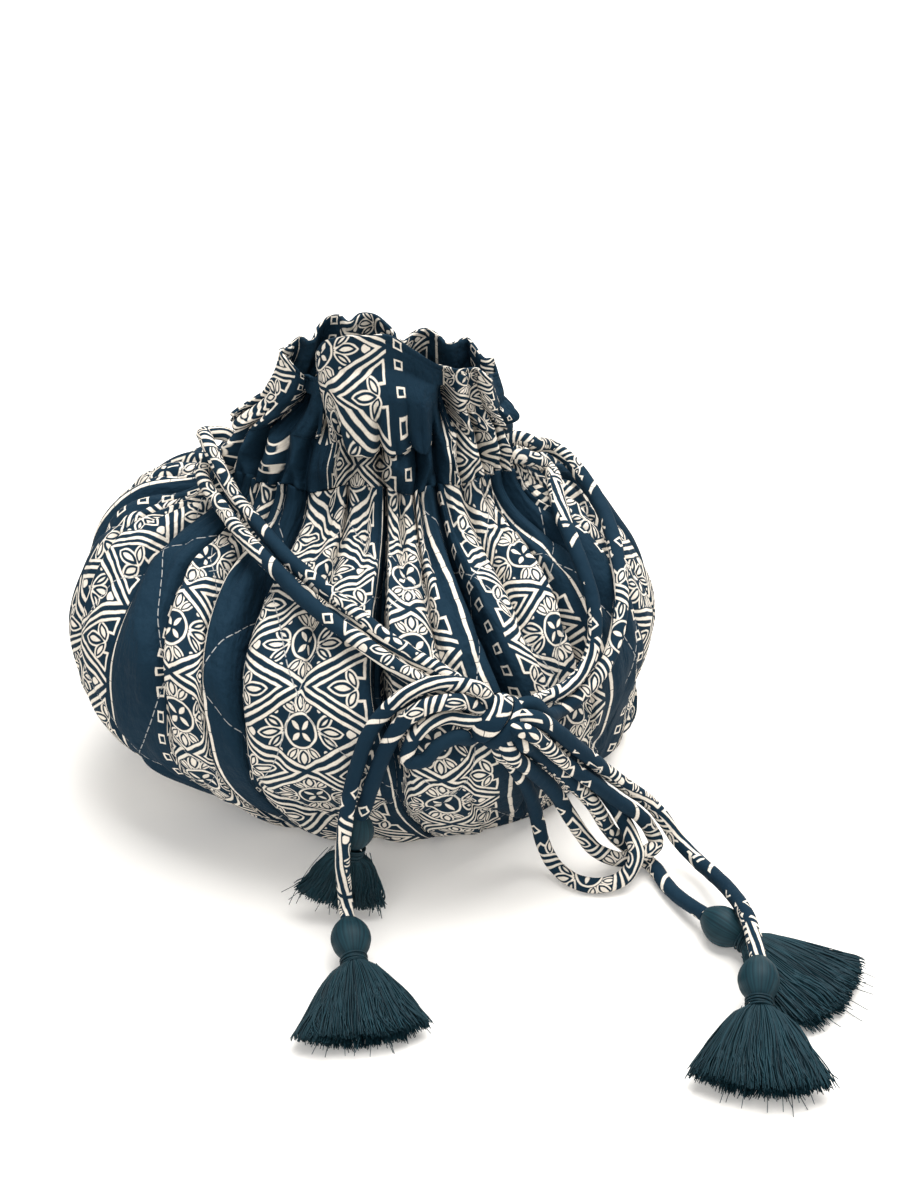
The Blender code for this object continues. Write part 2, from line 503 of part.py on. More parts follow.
def bow_knot():
    """The knot: wound cloth bands, so its round form has slanting grooves."""
    frame = np.array(KNOT_FRAME)
    rings = []
    for polar in np.linspace(0.16, np.pi - 0.16, 12):
        a = np.arange(24) * 2 * np.pi / 24
        unit = np.stack([np.full_like(a, np.cos(polar)), np.sin(polar) * np.cos(a), np.sin(polar) * np.sin(a)], -1)
        groove = 0.5 - 0.5 * np.cos(3.0 * a + 5.0 * np.cos(polar))
        size = np.array(KNOT_AXES) * (1.0 - KNOT_GROOVE * groove[:, None] * np.sin(polar))
        rings.append(np.array(KNOT_CENTRE) + (unit * size) @ frame)
    return loft("bow_knot", rings, COLOURS["cord"])


def tassel_frame(start, tip):
    start = np.array(start)
    axis = np.array(tip) - start
    length = np.linalg.norm(axis)
    axis = axis / length
    spread_over = (0.0, 1.0, 0.0) if abs(axis[2]) > 0.7 else (0.0, 0.0, 1.0)
    side = np.cross(axis, spread_over)
    side /= np.linalg.norm(side)
    return start, axis, side, np.cross(side, axis), length


def tassel(key):
    start, tip, head_r, head_length, half_width, half_thick = TASSELS[key]
    start, axis, side, up, length = tassel_frame(start, tip)
    turn = np.arange(16) * 2 * np.pi / 16
    circle = np.cos(turn)[:, None] * side + np.sin(turn)[:, None] * up
    rings = []
    for s in np.linspace(0.0, 1.0, 9):
        swell = np.sin(np.pi * (0.13 + 0.74 * s)) ** 0.8
        rings.append(start + axis * (SEAM_GAP + s * head_length) + circle * head_r * swell)
    loft(key + "_tassel_head", rings, COLOURS["tassel"])
    at = 2 * SEAM_GAP + head_length
    rings = []
    for s, r in ((0.0, 0.86), (0.25, 1.0), (0.75, 1.0), (1.0, 0.86)):
        rings.append(start + axis * (at + s * BINDING_LENGTH) + circle * BINDING_R * r)
    loft(key + "_tassel_binding", rings, COLOURS["binding"])
    at += BINDING_LENGTH + SEAM_GAP
    turn = np.arange(30) * 2 * np.pi / 30
    flute = 1.0 - SKIRT_FLUTE_DEPTH * (0.5 + 0.5 * np.cos(SKIRT_FLUTES * turn))
    rings = []
    for s in (0.0, 0.15, 0.4, 0.7, 1.0):
        wide = SKIRT_NECK_R + (half_width - SKIRT_NECK_R) * s ** 0.75
        thick = SKIRT_NECK_R + (half_thick - SKIRT_NECK_R) * s
        bow = np.cos(turn)[:, None] * side * wide + np.sin(turn)[:, None] * up * thick
        back = axis * (length - at) * 0.16 * s * (np.cos(turn) ** 2)[:, None]
        rings.append(start + axis * (at + s * (length - at)) + bow * (flute ** s)[:, None] - back)
    loft(key + "_tassel_skirt", rings, COLOURS["tassel"])


def main():
    for obj in list(bpy.data.objects):
        bpy.data.objects.remove(obj)
    quilted_body()
    base_panel()
    casing()
    frill()
    bow_knot()
    for name in CORDS:
        key = name.replace("tail_", "")
        tube(name, strand_line(name), tassel_frame(*TASSELS[key][:2])[1] if key in TASSELS else None)
    for key in TASSELS:
        tassel(key)


main()
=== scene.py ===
"""Looks of the drawstring pouch: gathered quilted cloth, frill, cords, knot, tassels, floor and light."""

import bpy
import numpy as np
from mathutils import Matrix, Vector

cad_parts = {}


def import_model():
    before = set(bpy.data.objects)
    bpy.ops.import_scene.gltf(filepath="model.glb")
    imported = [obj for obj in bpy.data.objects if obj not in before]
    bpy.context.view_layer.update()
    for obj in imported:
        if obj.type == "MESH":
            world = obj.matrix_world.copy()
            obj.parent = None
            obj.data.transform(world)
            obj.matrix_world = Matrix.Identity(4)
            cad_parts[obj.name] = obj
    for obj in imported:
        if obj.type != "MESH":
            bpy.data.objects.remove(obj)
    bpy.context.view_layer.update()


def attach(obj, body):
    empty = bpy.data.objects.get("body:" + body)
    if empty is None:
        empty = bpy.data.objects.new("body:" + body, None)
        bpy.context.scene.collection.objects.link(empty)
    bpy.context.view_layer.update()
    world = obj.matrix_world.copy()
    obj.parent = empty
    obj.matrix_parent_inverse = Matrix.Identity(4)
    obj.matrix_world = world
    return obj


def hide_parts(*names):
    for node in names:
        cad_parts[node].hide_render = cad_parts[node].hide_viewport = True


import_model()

MM = 0.001

# the same shape values as the part's source, in millimetres
RINGS = [
    (0.00, 0.0, 0.0, 81.1, 64.1, 0.0, (-8, 19, 8, 8, 3, -3, -5, 14)),
    (0.13, -6.6, 4.9, 101.2, 80.3, 8.0, (-13, 27, 12, 22, 21, -2, 2, 16)),
    (0.30, -19.3, 10.0, 120.4, 100.6, 34.0, (-17, 25, -5, 0, -9, 14, 19, -6)),
    (0.48, -23.3, 10.4, 129.3, 113.1, 68.0, (-10, 28, -5, 6, 7, 17, 9, -8)),
    (0.66, -28.2, 12.2, 120.9, 105.0, 100.0, (-11, 18, -2, 1, -6, -5, 8, 0)),
    (0.84, -26.0, 19.2, 100.7, 76.3, 122.0, (-10, 21, -14, 1, -13, 0, -11, -12)),
    (1.00, -21.5, 21.6, 73.1, 37.0, 132.0, (-3, 11, -5, 1, -3, 1, -3, -2)),
    (1.12, -21.0, 22.8, 64.5, 26.5, 148.0, (-2, 6, -2, 1, -1, 0, -1, -1)),
    (1.45, -14.0, 24.5, 54.0, 14.3, 202.0, (0, 0, 0, 0, 0, 0, 0, 0)),
]
CASING_START, CASING_END = 1.065, 1.185
CORD_R = 3.2

# valleys of the gathers: angle at the casing and at the belly, depth at the casing and at the
# shoulder, height fraction where it has faded out, cloth hidden in it, sharpness, lean of its ridge
VALLEYS = [
    (2, 0, 6.5, 8.5, 0.48, 4, 2.6, 1.0), (15, 12, 8.0, 9.5, 0.40, 6, 2.8, -1.5),
    (29, 25, 6.5, 6.5, 0.55, 3, 2.4, 1.5), (43, 39, 8.0, 10.0, 0.38, 7, 3.0, -1.5),
    (58, 56, 6.5, 6.5, 0.56, 3, 2.4, 1.0), (73, 72, 8.0, 11.0, 0.40, 7, 3.0, 1.5),
    (88, 89, 6.5, 7.0, 0.55, 4, 2.4, -1.0), (103, 105, 8.0, 10.0, 0.38, 6, 3.0, 1.5),
    (118, 121, 6.5, 6.5, 0.58, 3, 2.4, -1.5), (132, 137, 8.0, 11.0, 0.40, 7, 3.0, 1.0),
    (147, 152, 6.5, 6.5, 0.55, 3, 2.4, 1.5), (161, 166, 8.0, 9.5, 0.42, 6, 2.8, -1.0),
    (176, 181, 6.5, 7.5, 0.50, 5, 2.4, 1.5), (192, 200, 8.0, 10.0, 0.38, 7, 3.0, -1.5),
    (207, 216, 6.5, 8.5, 0.50, 4, 2.4, 1.0), (222, 232, 9.0, 13.0, 0.40, 24, 3.2, -2.0),
    (234, 241, 6.5, 8.5, 0.52, 22, 2.6, -1.5), (246, 248, 9.0, 11.0, 0.34, 24, 3.0, 2.0),
    (262, 262.5, 6.5, 6.5, 0.58, 0, 2.4, 1.0), (276, 277, 13.0, 34.0, 0.36, 46, 0.0, 0.0),
    (287, 290, 7.0, 6.0, 0.50, 4, 2.4, -2.0), (296.5, 302.5, 9.0, 16.0, 0.36, 18, 3.4, -2.0),
    (308, 312, 6.5, 8.5, 0.52, 6, 2.4, 1.5), (320, 324, 9.0, 14.0, 0.38, 12, 3.2, -1.5),
    (333, 336, 6.5, 7.0, 0.56, 4, 2.4, 1.5), (346, 347, 8.0, 10.5, 0.40, 8, 2.8, -1.0),
]
CORD_BED = 2.6               # how far the front lies under the smooth bag, where the cords rest
CORD_BED_SIDES, CORD_BED_EDGE = (205.0, 345.0), 14.0    # where that is, and its soft edge, in degrees
PRINT_PERIOD = 95.0          # one lattice band with its stripe and its squares
PERIOD_COUNT = 10            # periods round the body
BODY_CLOTH = PERIOD_COUNT * PRINT_PERIOD * MM
PRINT_ALONG = 0.86           # cloth length along the body for each length of its smooth side
PRINT_START_ANGLE = 248.8    # where one lattice band begins, at this height fraction
PRINT_START_T = 0.6
BELLY_T = 0.52
EXITS = [(180, 14), (0, 14)]     # where the cords come out: middle and half width in degrees
POCKET_DEPTH = 6.0
BODY_WALL, CASING_WALL, FRILL_WALL, BASE_WALL = 2.6, 2.2, 1.3, 3.0


def smooth_through(keys, values, at):
    """A smooth curve through values at increasing keys, read at other places."""
    keys = np.asarray(keys, float)
    values = np.asarray(values, float)
    step = np.diff(keys)[:, None]
    slope = np.diff(values, axis=0) / step
    tangent = np.zeros_like(values)
    tangent[1:-1] = (slope[:-1] * step[1:] + slope[1:] * step[:-1]) / (step[1:] + step[:-1])
    tangent[0] = slope[0]
    tangent[-1] = slope[-1]
    i = np.clip(np.searchsorted(keys, at, side="right") - 1, 0, len(keys) - 2)
    h = step[i]
    s = ((np.asarray(at) - keys[i])[:, None]) / h
    a = (2 * s**3 - 3 * s**2 + 1) * values[i] + (s**3 - 2 * s**2 + s) * h * tangent[i]
    return a + (3 * s**2 - 2 * s**3) * values[i + 1] + (s**3 - s**2) * h * tangent[i + 1]


def smoothstep(x, low, high):
    s = np.clip((x - low) / (high - low), 0.0, 1.0)
    return s * s * (3 - 2 * s)


RING_KEYS = np.array([row[0] for row in RINGS])


def ring_values(angle):
    """All rings' points at the angles: (rings, ..., 3)."""
    out = []
    for _, cx, cy, rx, ry, z, parts in RINGS:
        m = np.ones_like(angle)
        for k in range(4):
            m = m + parts[2 * k] * 0.001 * np.cos((k + 2) * angle)
            m = m + parts[2 * k + 1] * 0.001 * np.sin((k + 2) * angle)
        out.append(np.stack([cx + rx * m * np.cos(angle), cy + ry * m * np.sin(angle), z + 0 * angle], -1))
    return np.stack(out)


def hermite_weights(t):
    """Weights of every ring's values for one height fraction."""
    return smooth_through(RING_KEYS, np.eye(len(RINGS)), np.atleast_1d(t))


def seam_wander(angle, t):
    """The drawn seams don't run level: they rise and fall with the lumps of cloth."""
    wave = np.sin(7 * angle + 0.6) + 0.8 * np.sin(12 * angle + 2.1) + 0.6 * np.sin(19 * angle + 4.0)
    low = smoothstep(t, 0.96, CASING_START) * (1 - smoothstep(t, CASING_START, CASING_END))
    high = smoothstep(t, CASING_START, CASING_END) * (1 - smoothstep(t, CASING_END, 1.4))
    return 0.007 * wave * low[:, None] + 0.010 * (wave * np.cos(3 * angle)) * high[:, None]


def smooth_rows(angle, t):
    """Points on the bag without folds: angle is (rows, columns), t is (rows,)."""
    heights = t[:, None] + seam_wander(angle, np.asarray(t))
    weights = hermite_weights(heights.ravel()).reshape(*heights.shape, -1)
    return np.einsum("rck,krcx->rcx", weights, ring_values(angle))


def unit(v):
    return v / np.maximum(np.linalg.norm(v, axis=-1, keepdims=True), 1e-9)


def normals_of(grid):
    """Unit normals of a closed grid of points, outward for angle rising and height rising."""
    along = np.roll(grid, -1, 1) - np.roll(grid, 1, 1)
    return unit(np.cross(along, np.gradient(grid, axis=0)))


def arc_length(line):
    """Distance from the start to each point of a line."""
    return np.concatenate([[0.0], np.cumsum(np.linalg.norm(np.diff(line, axis=0), axis=1))])


def round_angles(count):
    return np.arange(count) * 2 * np.pi / count


def wrap(values, more=0):
    """Adds the first column again at the end, with more added to it."""
    return np.concatenate([values, values[:, :1] + more], 1)


def hump(w, top, power):
    """Nought at 0 and from top on, and one halfway between."""
    return np.sin(np.pi * np.clip(w / top, 0, 1)) ** power


def angle_off(angle_deg, centre):
    return (angle_deg - centre + 180.0) % 360.0 - 180.0


# columns: each gather cell is split in two half cells, with points crowded at the valleys
HALF = 13
COLUMNS = 2 * HALF * len(VALLEYS)
V = np.array(VALLEYS, float)
V[:, 3] *= np.where(V[:, 6] > 0, 1.2, 1.0)
V[:, 6] *= 1.45
CELL = np.repeat(np.arange(len(VALLEYS)), 2 * HALF)
_f = np.arange(2 * HALF) / (2 * HALF)
CELL_X = np.tile(-np.cos(np.pi * _f), len(VALLEYS))
NEXT = (CELL + 1) % len(VALLEYS)


def valley_angle(k, t):
    """Angle of valley k at every height: it drifts between the belly and the casing."""
    turn = smoothstep(1.0 - t, 0.0, 0.4)
    return V[k, 0] + (V[k, 1] - V[k, 0]) * turn


def column_angles(t):
    """(rows, columns) angles in degrees, rising without a jump."""
    t = np.asarray(t)[:, None]
    a = valley_angle(CELL[None], t)
    b = valley_angle(NEXT[None], t) + np.where(NEXT < CELL, 360.0, 0.0)[None]
    return a + (b - a) * (CELL_X[None] + 1) / 2


def valley_depth(k, t):
    d = V[k, 3] + (V[k, 2] - V[k, 3]) * smoothstep(t, 0.84, 1.02)
    return d * smoothstep(t, V[k, 4], np.minimum(0.9, V[k, 4] + 0.34)) + 0.6 * smoothstep(t, 0.1, 0.3)


def ridge_pleat(k, x):
    """Depth of the finer pleat in the middle of ridge k, at x from -1 to 1 across it."""
    return 4.2 * (1.0 + 0.45 * np.sin(1.7 * k)) * (1.0 - np.abs(x)) ** 2.4


def fold_depth(t):
    """Depth of the cloth under the smooth bag, and how far each ridge leans."""
    t = np.asarray(t)[:, None]
    x, cell = CELL_X[None], CELL[None]
    k = np.where(x < 0, cell, NEXT[None])
    # a valley with no sharpness is a slot with a flat bottom
    slot = smoothstep(np.abs(x), 0.64 + 0.16 * smoothstep(t, 0.8, 1.0), 0.91)
    depth = valley_depth(k, t) * np.where(V[k, 6] > 0, np.abs(x) ** np.maximum(V[k, 6], 1.0), slot)
    # finer pleats on each ridge, near the casing only
    depth = depth + ridge_pleat(cell, x) * smoothstep(t, 0.74, 1.0)
    ripple = 0.5 + 0.5 * np.cos(2 * np.pi * (2 * x + 0.13 * np.sin(cell)))
    finest = 1.5 * smoothstep(t, 0.82, 1.0) * (1.0 - smoothstep(t, 1.02, CASING_START)) * ripple
    depth = depth + finest * (1 - x**4)
    lean = 1.6 * V[cell, 7] * (1 - x**2) * smoothstep(t, 0.45, 0.8)
    return depth, lean


def waves(u, v, seed, count, long_v, short_u, amount):
    """A repeatable field of soft wrinkles that run along v."""
    rng = np.random.default_rng(seed)
    out = np.zeros_like(u)
    for _ in range(count):
        fu = rng.uniform(0.4, 1.0) / short_u * 2 * np.pi
        fv = rng.uniform(-1.0, 1.0) / long_v * 2 * np.pi
        out += np.cos(u * fu + v * fv + rng.uniform(0, 2 * np.pi))
    return amount * out / np.sqrt(count)


def cord_bed(angle_deg, t):
    """How far the front lies under the smooth bag, by the cords that rest on it."""
    first, last = CORD_BED_SIDES
    side = np.mod(angle_deg - first, 360.0)
    wide = last - first
    bed = smoothstep(side, 0.0, CORD_BED_EDGE) * (1.0 - smoothstep(side, wide - CORD_BED_EDGE, wide))
    t = t[:, None]
    return CORD_BED * bed * smoothstep(t, 0.40, 0.58) * (1.0 - 0.6 * smoothstep(t, 0.86, 1.0))


# quilting lines in millimetres of cloth: their pitch and slant, and the wave that they run in
STITCH_STEP, STITCH_SLOPE = 62.0, 0.72
STITCH_WAVE, STITCH_WAVE_LENGTH = 6.0, 110.0
STITCH_ACROSS = (1 + STITCH_SLOPE**2) ** 0.5


def stitch_distance(u, v):
    """Distance in metres to the nearest quilting line of either family."""
    step = STITCH_STEP * MM
    both = []
    for sign in (1.0, -1.0):
        wave = STITCH_WAVE * MM * np.sin(v * 2 * np.pi / (STITCH_WAVE_LENGTH * MM) + 0.8 * sign)
        w = u + sign * STITCH_SLOPE * v + wave
        both.append(np.abs((w / step) % 1.0 - 0.5) * step / STITCH_ACROSS)
    return np.minimum(*both)


ROWS = 112
T_BODY = np.linspace(0.0, 1.0, ROWS) ** 0.92 * (CASING_START + 0.004)
HALF_CELLS = 2 * len(VALLEYS)


def nearest_row(t):
    return int(np.argmin(np.abs(T_BODY - t)))


def cloth_share(points, smooth):
    """How far round its own folded length each point of the body lies, from 0 to 1.

    Every gather holds the same cloth at each height, and what doesn't fit is hidden at its valleys.
    """
    rows = len(points)
    cells = np.linalg.norm(np.diff(wrap(points), axis=1), axis=2).reshape(rows, HALF_CELLS, HALF)
    arc = cells.sum(2)
    around = np.linalg.norm(np.diff(wrap(smooth)[nearest_row(BELLY_T)], axis=0), axis=1)
    hidden = np.stack([V[:, 5], np.roll(V[:, 5], -1)], 1).ravel() * 0.5
    width = around.reshape(HALF_CELLS, HALF).sum(1) + hidden
    s = np.concatenate([np.zeros((rows, HALF_CELLS, 1)), np.cumsum(cells, 2)[..., :-1]], 2)
    x = s / arc[..., None]
    spare = (width[None] - arc)[..., None]
    first = (np.arange(HALF_CELLS) % 2 == 0)[None, :, None]
    near, far = 1 - (1 - x) ** 11, x**11
    m = 1.0 - 0.3 * smoothstep(T_BODY, 0.8, 1.0)[:, None, None]
    share = np.where(first, m * near + (1 - m) * far, m * far + (1 - m) * near)
    u = np.concatenate([[0.0], np.cumsum(width)[:-1]])[None, :, None] + s + spare * share
    return u.reshape(rows, -1) / width.sum()


def flat_low(normal, t):
    """Normals that point straight down at the base's seam."""
    low = smoothstep(t, 0.0, 0.06)[:, None, None]
    return unit(normal * low + np.array([0.0, 0.0, -1.0]) * (1 - low))


def exit_pocket(angle_deg, t):
    """One inside the pockets where the cords come out, and nought elsewhere."""
    high = smoothstep(t, CASING_START - 0.03, CASING_START + 0.01)[:, None]
    inside = 0
    for centre, width in EXITS:
        off = np.abs(angle_off(angle_deg, centre)) / width
        inside = inside + (1.0 - smoothstep(off, 1.0, 1.7)) * high
    return inside


def body_grid():
    """The body's outer face, its normals without folds, and its cloth coordinates in metres."""
    t = T_BODY[:, None]
    angle_deg = column_angles(T_BODY)
    turn = np.radians(angle_deg)
    smooth = smooth_rows(turn, T_BODY)
    normal = flat_low(normals_of(smooth), T_BODY)
    along = unit(np.cross(np.array([0.0, 0.0, 1.0]), normal))
    depth, lean = fold_depth(T_BODY)
    depth = depth + cord_bed(angle_deg, T_BODY)
    share = cloth_share(smooth - normal * depth[..., None] + along * lean[..., None], smooth)
    row = nearest_row(PRINT_START_T)
    u = (share - np.interp(PRINT_START_ANGLE, angle_deg[row], share[row])) * BODY_CLOTH
    meridian = np.linalg.norm(np.diff(smooth, axis=0), axis=2)
    v = np.concatenate([np.zeros((1, COLUMNS)), np.cumsum(meridian, 0)]) * MM * PRINT_ALONG
    v = v - v[-1:]
    # quilting: soft pillows between the stitched lines, with puckers beside them
    d = stitch_distance(u, v)
    puff = -1.7 * np.exp(-(d / 0.0035) ** 2) * (1.0 - 0.6 * smoothstep(t, 0.75, 1.0))
    pucker = waves(u, v, 11, 26, 0.022, 0.008, 0.34) * np.exp(-(d / 0.010) ** 2)
    wrinkle = waves(u, v, 3, 26, 0.050, 0.011, 0.62) * (0.35 + 0.65 * smoothstep(t, 0.4, 1.0))
    swell = waves(u, v, 5, 10, 0.16, 0.07, 0.9) * smoothstep(t, 0.02, 0.2) * (1 - smoothstep(t, 0.8, 0.98))
    low = smoothstep(t, 0.01, 0.08) * (1 - smoothstep(t, 0.16, 0.42))
    base_pleat = -1.8 * (0.5 - 0.5 * np.cos(turn * 24 + 1.3 * np.sin(2 * turn))) * low
    pocket = exit_pocket(angle_deg, T_BODY)
    keep = smoothstep(t, 0.0, 0.03) * (1.0 - smoothstep(t, 1.03, CASING_START)) * (1 - pocket)
    out = (puff + pucker + wrinkle + swell - 0.8 + base_pleat) * keep
    depth = depth * (1 - pocket) + POCKET_DEPTH * pocket - out
    grid = smooth - normal * depth[..., None] + along * (lean * (1 - pocket))[..., None]
    return grid, normal, u, v


def add_object(name, data):
    obj = bpy.data.objects.new(name, data)
    bpy.context.scene.collection.objects.link(obj)
    return obj


def new_mesh(name, points, quads, material):
    mesh = bpy.data.meshes.new(name)
    mesh.from_pydata(points, [], quads)
    mesh.polygons.foreach_set("use_smooth", np.ones(len(mesh.polygons), bool))
    mesh.materials.append(material)
    return mesh


class Mesh:
    """Quads gathered from closed grids of points, with their cloth coordinates."""

    def __init__(self):
        self.points, self.quads, self.uvs, self.count = [], [], [], 0

    def grid(self, points, u, v, flip=False):
        """Adds a grid in millimetres. u and v are in metres, with one more column."""
        rows, columns = points.shape[:2]
        ids = self.count + np.arange(rows * columns).reshape(rows, columns)
        self.points.append(points.reshape(-1, 3))
        self.count += rows * columns
        self.faces(wrap(ids), np.stack([u, v], -1), flip)
        return ids

    def faces(self, ids, uv, flip=False):
        a, b, c, d = ids[:-1, :-1], ids[:-1, 1:], ids[1:, 1:], ids[1:, :-1]
        p, q, r, s = uv[:-1, :-1], uv[:-1, 1:], uv[1:, 1:], uv[1:, :-1]
        if flip:
            b, d, q, s = d, b, s, q
        self.quads.append(np.stack([a, b, c, d], -1).reshape(-1, 4))
        self.uvs.append(np.stack([p, q, r, s], -2).reshape(-1, 2))

    def rim(self, first, second, u, v):
        """Joins two closed rows of points."""
        ids = wrap(np.stack([first, second]))
        self.faces(ids, np.stack([np.stack([u, u]), np.stack([v, v + 0.002])], -1))

    def build(self, name, material, slot, nodes):
        mesh = new_mesh(name, np.concatenate(self.points) * MM, np.concatenate(self.quads), material)
        layer = mesh.uv_layers.new(name="cloth")
        layer.data.foreach_set("uv", np.concatenate(self.uvs).astype(np.float32).ravel())
        obj = add_object(name, mesh)
        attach(obj, "root")
        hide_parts(*nodes)
        return obj


def cloth_shell(name, outer, inner, outer_uv, inner_uv, cloth, material, slot, nodes):
    """A hollow ring of cloth: outer face, inner face and its two free edges."""
    m = Mesh()
    u, v = wrap(outer_uv[0], cloth), wrap(outer_uv[1])
    a = m.grid(outer, u, v)
    b = m.grid(inner, wrap(inner_uv[0], cloth), wrap(inner_uv[1]), flip=True)
    m.rim(a[-1], b[-1], u[-1], v[-1])
    m.rim(b[0], a[0], u[0], v[0])
    return m.build(name, material, slot, nodes)


# ---- the casing and the frill share one strip of cloth, printed the other way round ----
# free edge of the frill, seen from above, in millimetres: front wall from left to right, then back
FRILL_EDGE = [
    (-55, 29, 189), (-58, 21, 191), (-54, 12, 190), (-48.5, 13, 184), (-46.5, 20, 180), (-44, 14, 182),
    (-41.5, 9, 184), (-38, 12, 182), (-37, 20, 180), (-40.5, 16, 184), (-42, 8, 194), (-38, 3.5, 203),
    (-30, 1.5, 206), (-20, 1, 206), (-11, 3, 204.5), (-1, 6, 197), (7, 10, 190), (11, 17, 185), (7, 23, 183),
    (11.5, 14, 186), (15.5, 8.5, 188), (19, 11, 187), (20.5, 18, 184), (23.5, 20, 183), (25.5, 12, 185),
    (29, 10.5, 183), (31.5, 17, 180), (30.5, 24, 178), (34, 29, 177), (31, 33, 181), (27.5, 28, 184),
    (24, 33, 187), (20, 37, 189), (15.5, 31, 190), (12, 27, 191), (8.5, 34, 192), (3, 39, 193), (-3, 34, 193),
    (-7, 28, 192), (-12, 35, 195), (-18, 40, 198), (-25, 37, 200), (-29, 29, 200), (-33, 36, 200),
    (-38, 39, 198), (-43, 34, 195), (-46, 27, 193), (-50, 34, 191),
]
FLAP_SIDES = [((-42, 8), -33.0), ((7, 10), 8.0)]
HOLLOWS = [(-46.5, 20), (-37, 20), (11, 18)]
FRILL_PERIODS = 4
STRIP_CLOTH = FRILL_PERIODS * PRINT_PERIOD
FRILL_COLUMNS = 640
FRILL_HEIGHT = 46.0
SQUARES_AT = -8.3            # where the column of squares crosses the front flap's edge
SQUARES_U = 0.0895           # and its cloth coordinate in metres
CASING_ROWS = 26


def closed_curve(points, count):
    """Points at even spacing along a smooth closed curve."""
    p = np.array(points, float)
    before, after, later = np.roll(p, 1, 0), np.roll(p, -1, 0), np.roll(p, -2, 0)
    s = np.linspace(0, 1, 40, endpoint=False)[None, :, None]
    dense = 0.5 * (2 * p[:, None] + (after - before)[:, None] * s
                   + (2 * before - 5 * p + 4 * after - later)[:, None] * s**2
                   + (3 * p - before - 3 * after + later)[:, None] * s**3)
    dense = dense.reshape(-1, 3)
    again = np.vstack([dense, dense[:1]])
    arc = arc_length(again)
    at = np.arange(count) / count * arc[-1]
    return np.stack([np.interp(at, arc, again[:, k]) for k in range(3)], -1)


def frill_edge():
    """The free edge's points, and the angle of the casing that each point is drawn from."""
    edge = closed_curve(FRILL_EDGE, FRILL_COLUMNS)
    ahead = np.roll(edge, -1, 0) - edge
    right = int(np.argmax(edge[:, 0]))
    way = np.where(np.arange(FRILL_COLUMNS) < right, 1.0, -1.0)
    weight = 0.28 * np.linalg.norm(ahead[:, :2], axis=1) + 0.9 * np.maximum(ahead[:, 0] * way, 0.0)
    share = np.concatenate([[0], np.cumsum(weight)[:-1]])
    # even steps along the casing's own outline, from the left exit round the front to the right one
    angle = np.linspace(180, 540, 721)
    ring = smooth_rows(np.radians(angle)[None], np.array([CASING_END]))[0]
    arc = arc_length(ring)
    keys, places = [0.0], [0.0]
    for spot, seam_x in FLAP_SIDES:
        keys.append(share[np.argmin(np.linalg.norm(edge[:, :2] - spot, axis=1))])
        places.append(np.interp(seam_x, ring[:361, 0], arc[:361]))
    place = np.interp(share, keys + [share[right], weight.sum()], places + [arc[360], arc[-1]])
    return edge, np.interp(place, arc, angle)


EDGE, EDGE_ANGLE = frill_edge()


def strip_u():
    """Cloth coordinate in metres of each frill column, falling from left to right in front."""
    s = np.arange(FRILL_COLUMNS) / FRILL_COLUMNS * STRIP_CLOTH
    front = (EDGE[:, 1] < 9) & (np.abs(EDGE[:, 0] - SQUARES_AT) < 3)
    here = s[front][np.argmin(np.abs(EDGE[front, 0] - SQUARES_AT))]
    return -(s - here) * MM + SQUARES_U


def pleats(angle_deg, lumpy):
    """Depth of the drawn cloth at any angle: tight pleats at the seams, and lumps between them."""
    a = np.mod(angle_deg - V[0, 0], 360.0) + V[0, 0]
    k = np.clip(np.searchsorted(V[:, 0], a, side="right") - 1, 0, len(V) - 1)
    n = (k + 1) % len(V)
    width = np.mod(V[n, 0] - V[k, 0], 360.0)
    x = 2 * (a - V[k, 0]) / width - 1
    side = np.where(x < 0, k, n)
    sharp = np.where(V[side, 6] > 0, V[side, 6], 5.0)
    tight = (V[side, 2] + 0.6) * np.abs(x) ** sharp + ridge_pleat(k, x)
    lump = V[side, 2] * (1.45 + 0.4 * np.sin(2.3 * k)) * np.abs(x) ** 1.7 - 2.6 - 2.2 * np.sin(3.1 * k)
    return tight + (lump - tight) * lumpy


def casing_shape():
    """The casing's outer face, its normals and its cloth coordinates in metres."""
    t = np.linspace(CASING_START, CASING_END, CASING_ROWS)
    angle = np.broadcast_to(EDGE_ANGLE, (CASING_ROWS, FRILL_COLUMNS))
    smooth = smooth_rows(np.radians(angle), t)
    # level at the top, so that the casing meets the frill
    normal = normals_of(smooth)
    normal[..., 2] *= 1.0 - smoothstep(t, CASING_START + 0.05, CASING_END - 0.001)[:, None]
    normal = unit(normal)
    s = ((t - CASING_START) / (CASING_END - CASING_START))[:, None]
    across = smooth[0, :, 0]
    front = smooth[0, :, 1] < 10.0
    drawn_over = front * smoothstep(across, -78.0, -52.0) * (1 - smoothstep(across, -38.0, -12.0))
    u = np.broadcast_to(strip_u() + 0.016 * drawn_over, smooth.shape[:2])
    v = np.broadcast_to(0.007 + s * 0.020, smooth.shape[:2])
    pocket = exit_pocket(angle, t)
    lumpy = smoothstep(s, 0.0, 0.5) * (1.0 - 0.35 * smoothstep(s, 0.6, 1.0))
    drawn = pleats(angle + 2.0 * np.sin(np.pi * s) * np.sin(0.21 * angle), lumpy) + cord_bed(angle, t)
    crumple = waves(u, v, 21, 24, 0.020, 0.008, 0.9) + waves(u, v, 22, 14, 0.03, 0.03, 1.2)
    # the puckered knot of cloth under the flap
    knot = front * np.exp(-(((across + 10.0) / 8.0) ** 2))
    fine = waves(u, v, 23, 18, 0.008, 0.006, 1.0)
    out = (0.8 + crumple + knot[None] * (3.4 + 1.3 * fine)) * np.sin(np.pi * s) ** 0.7
    depth = (drawn - out) * (1 - pocket) + POCKET_DEPTH * pocket
    return smooth - normal * depth[..., None], normal, u, v


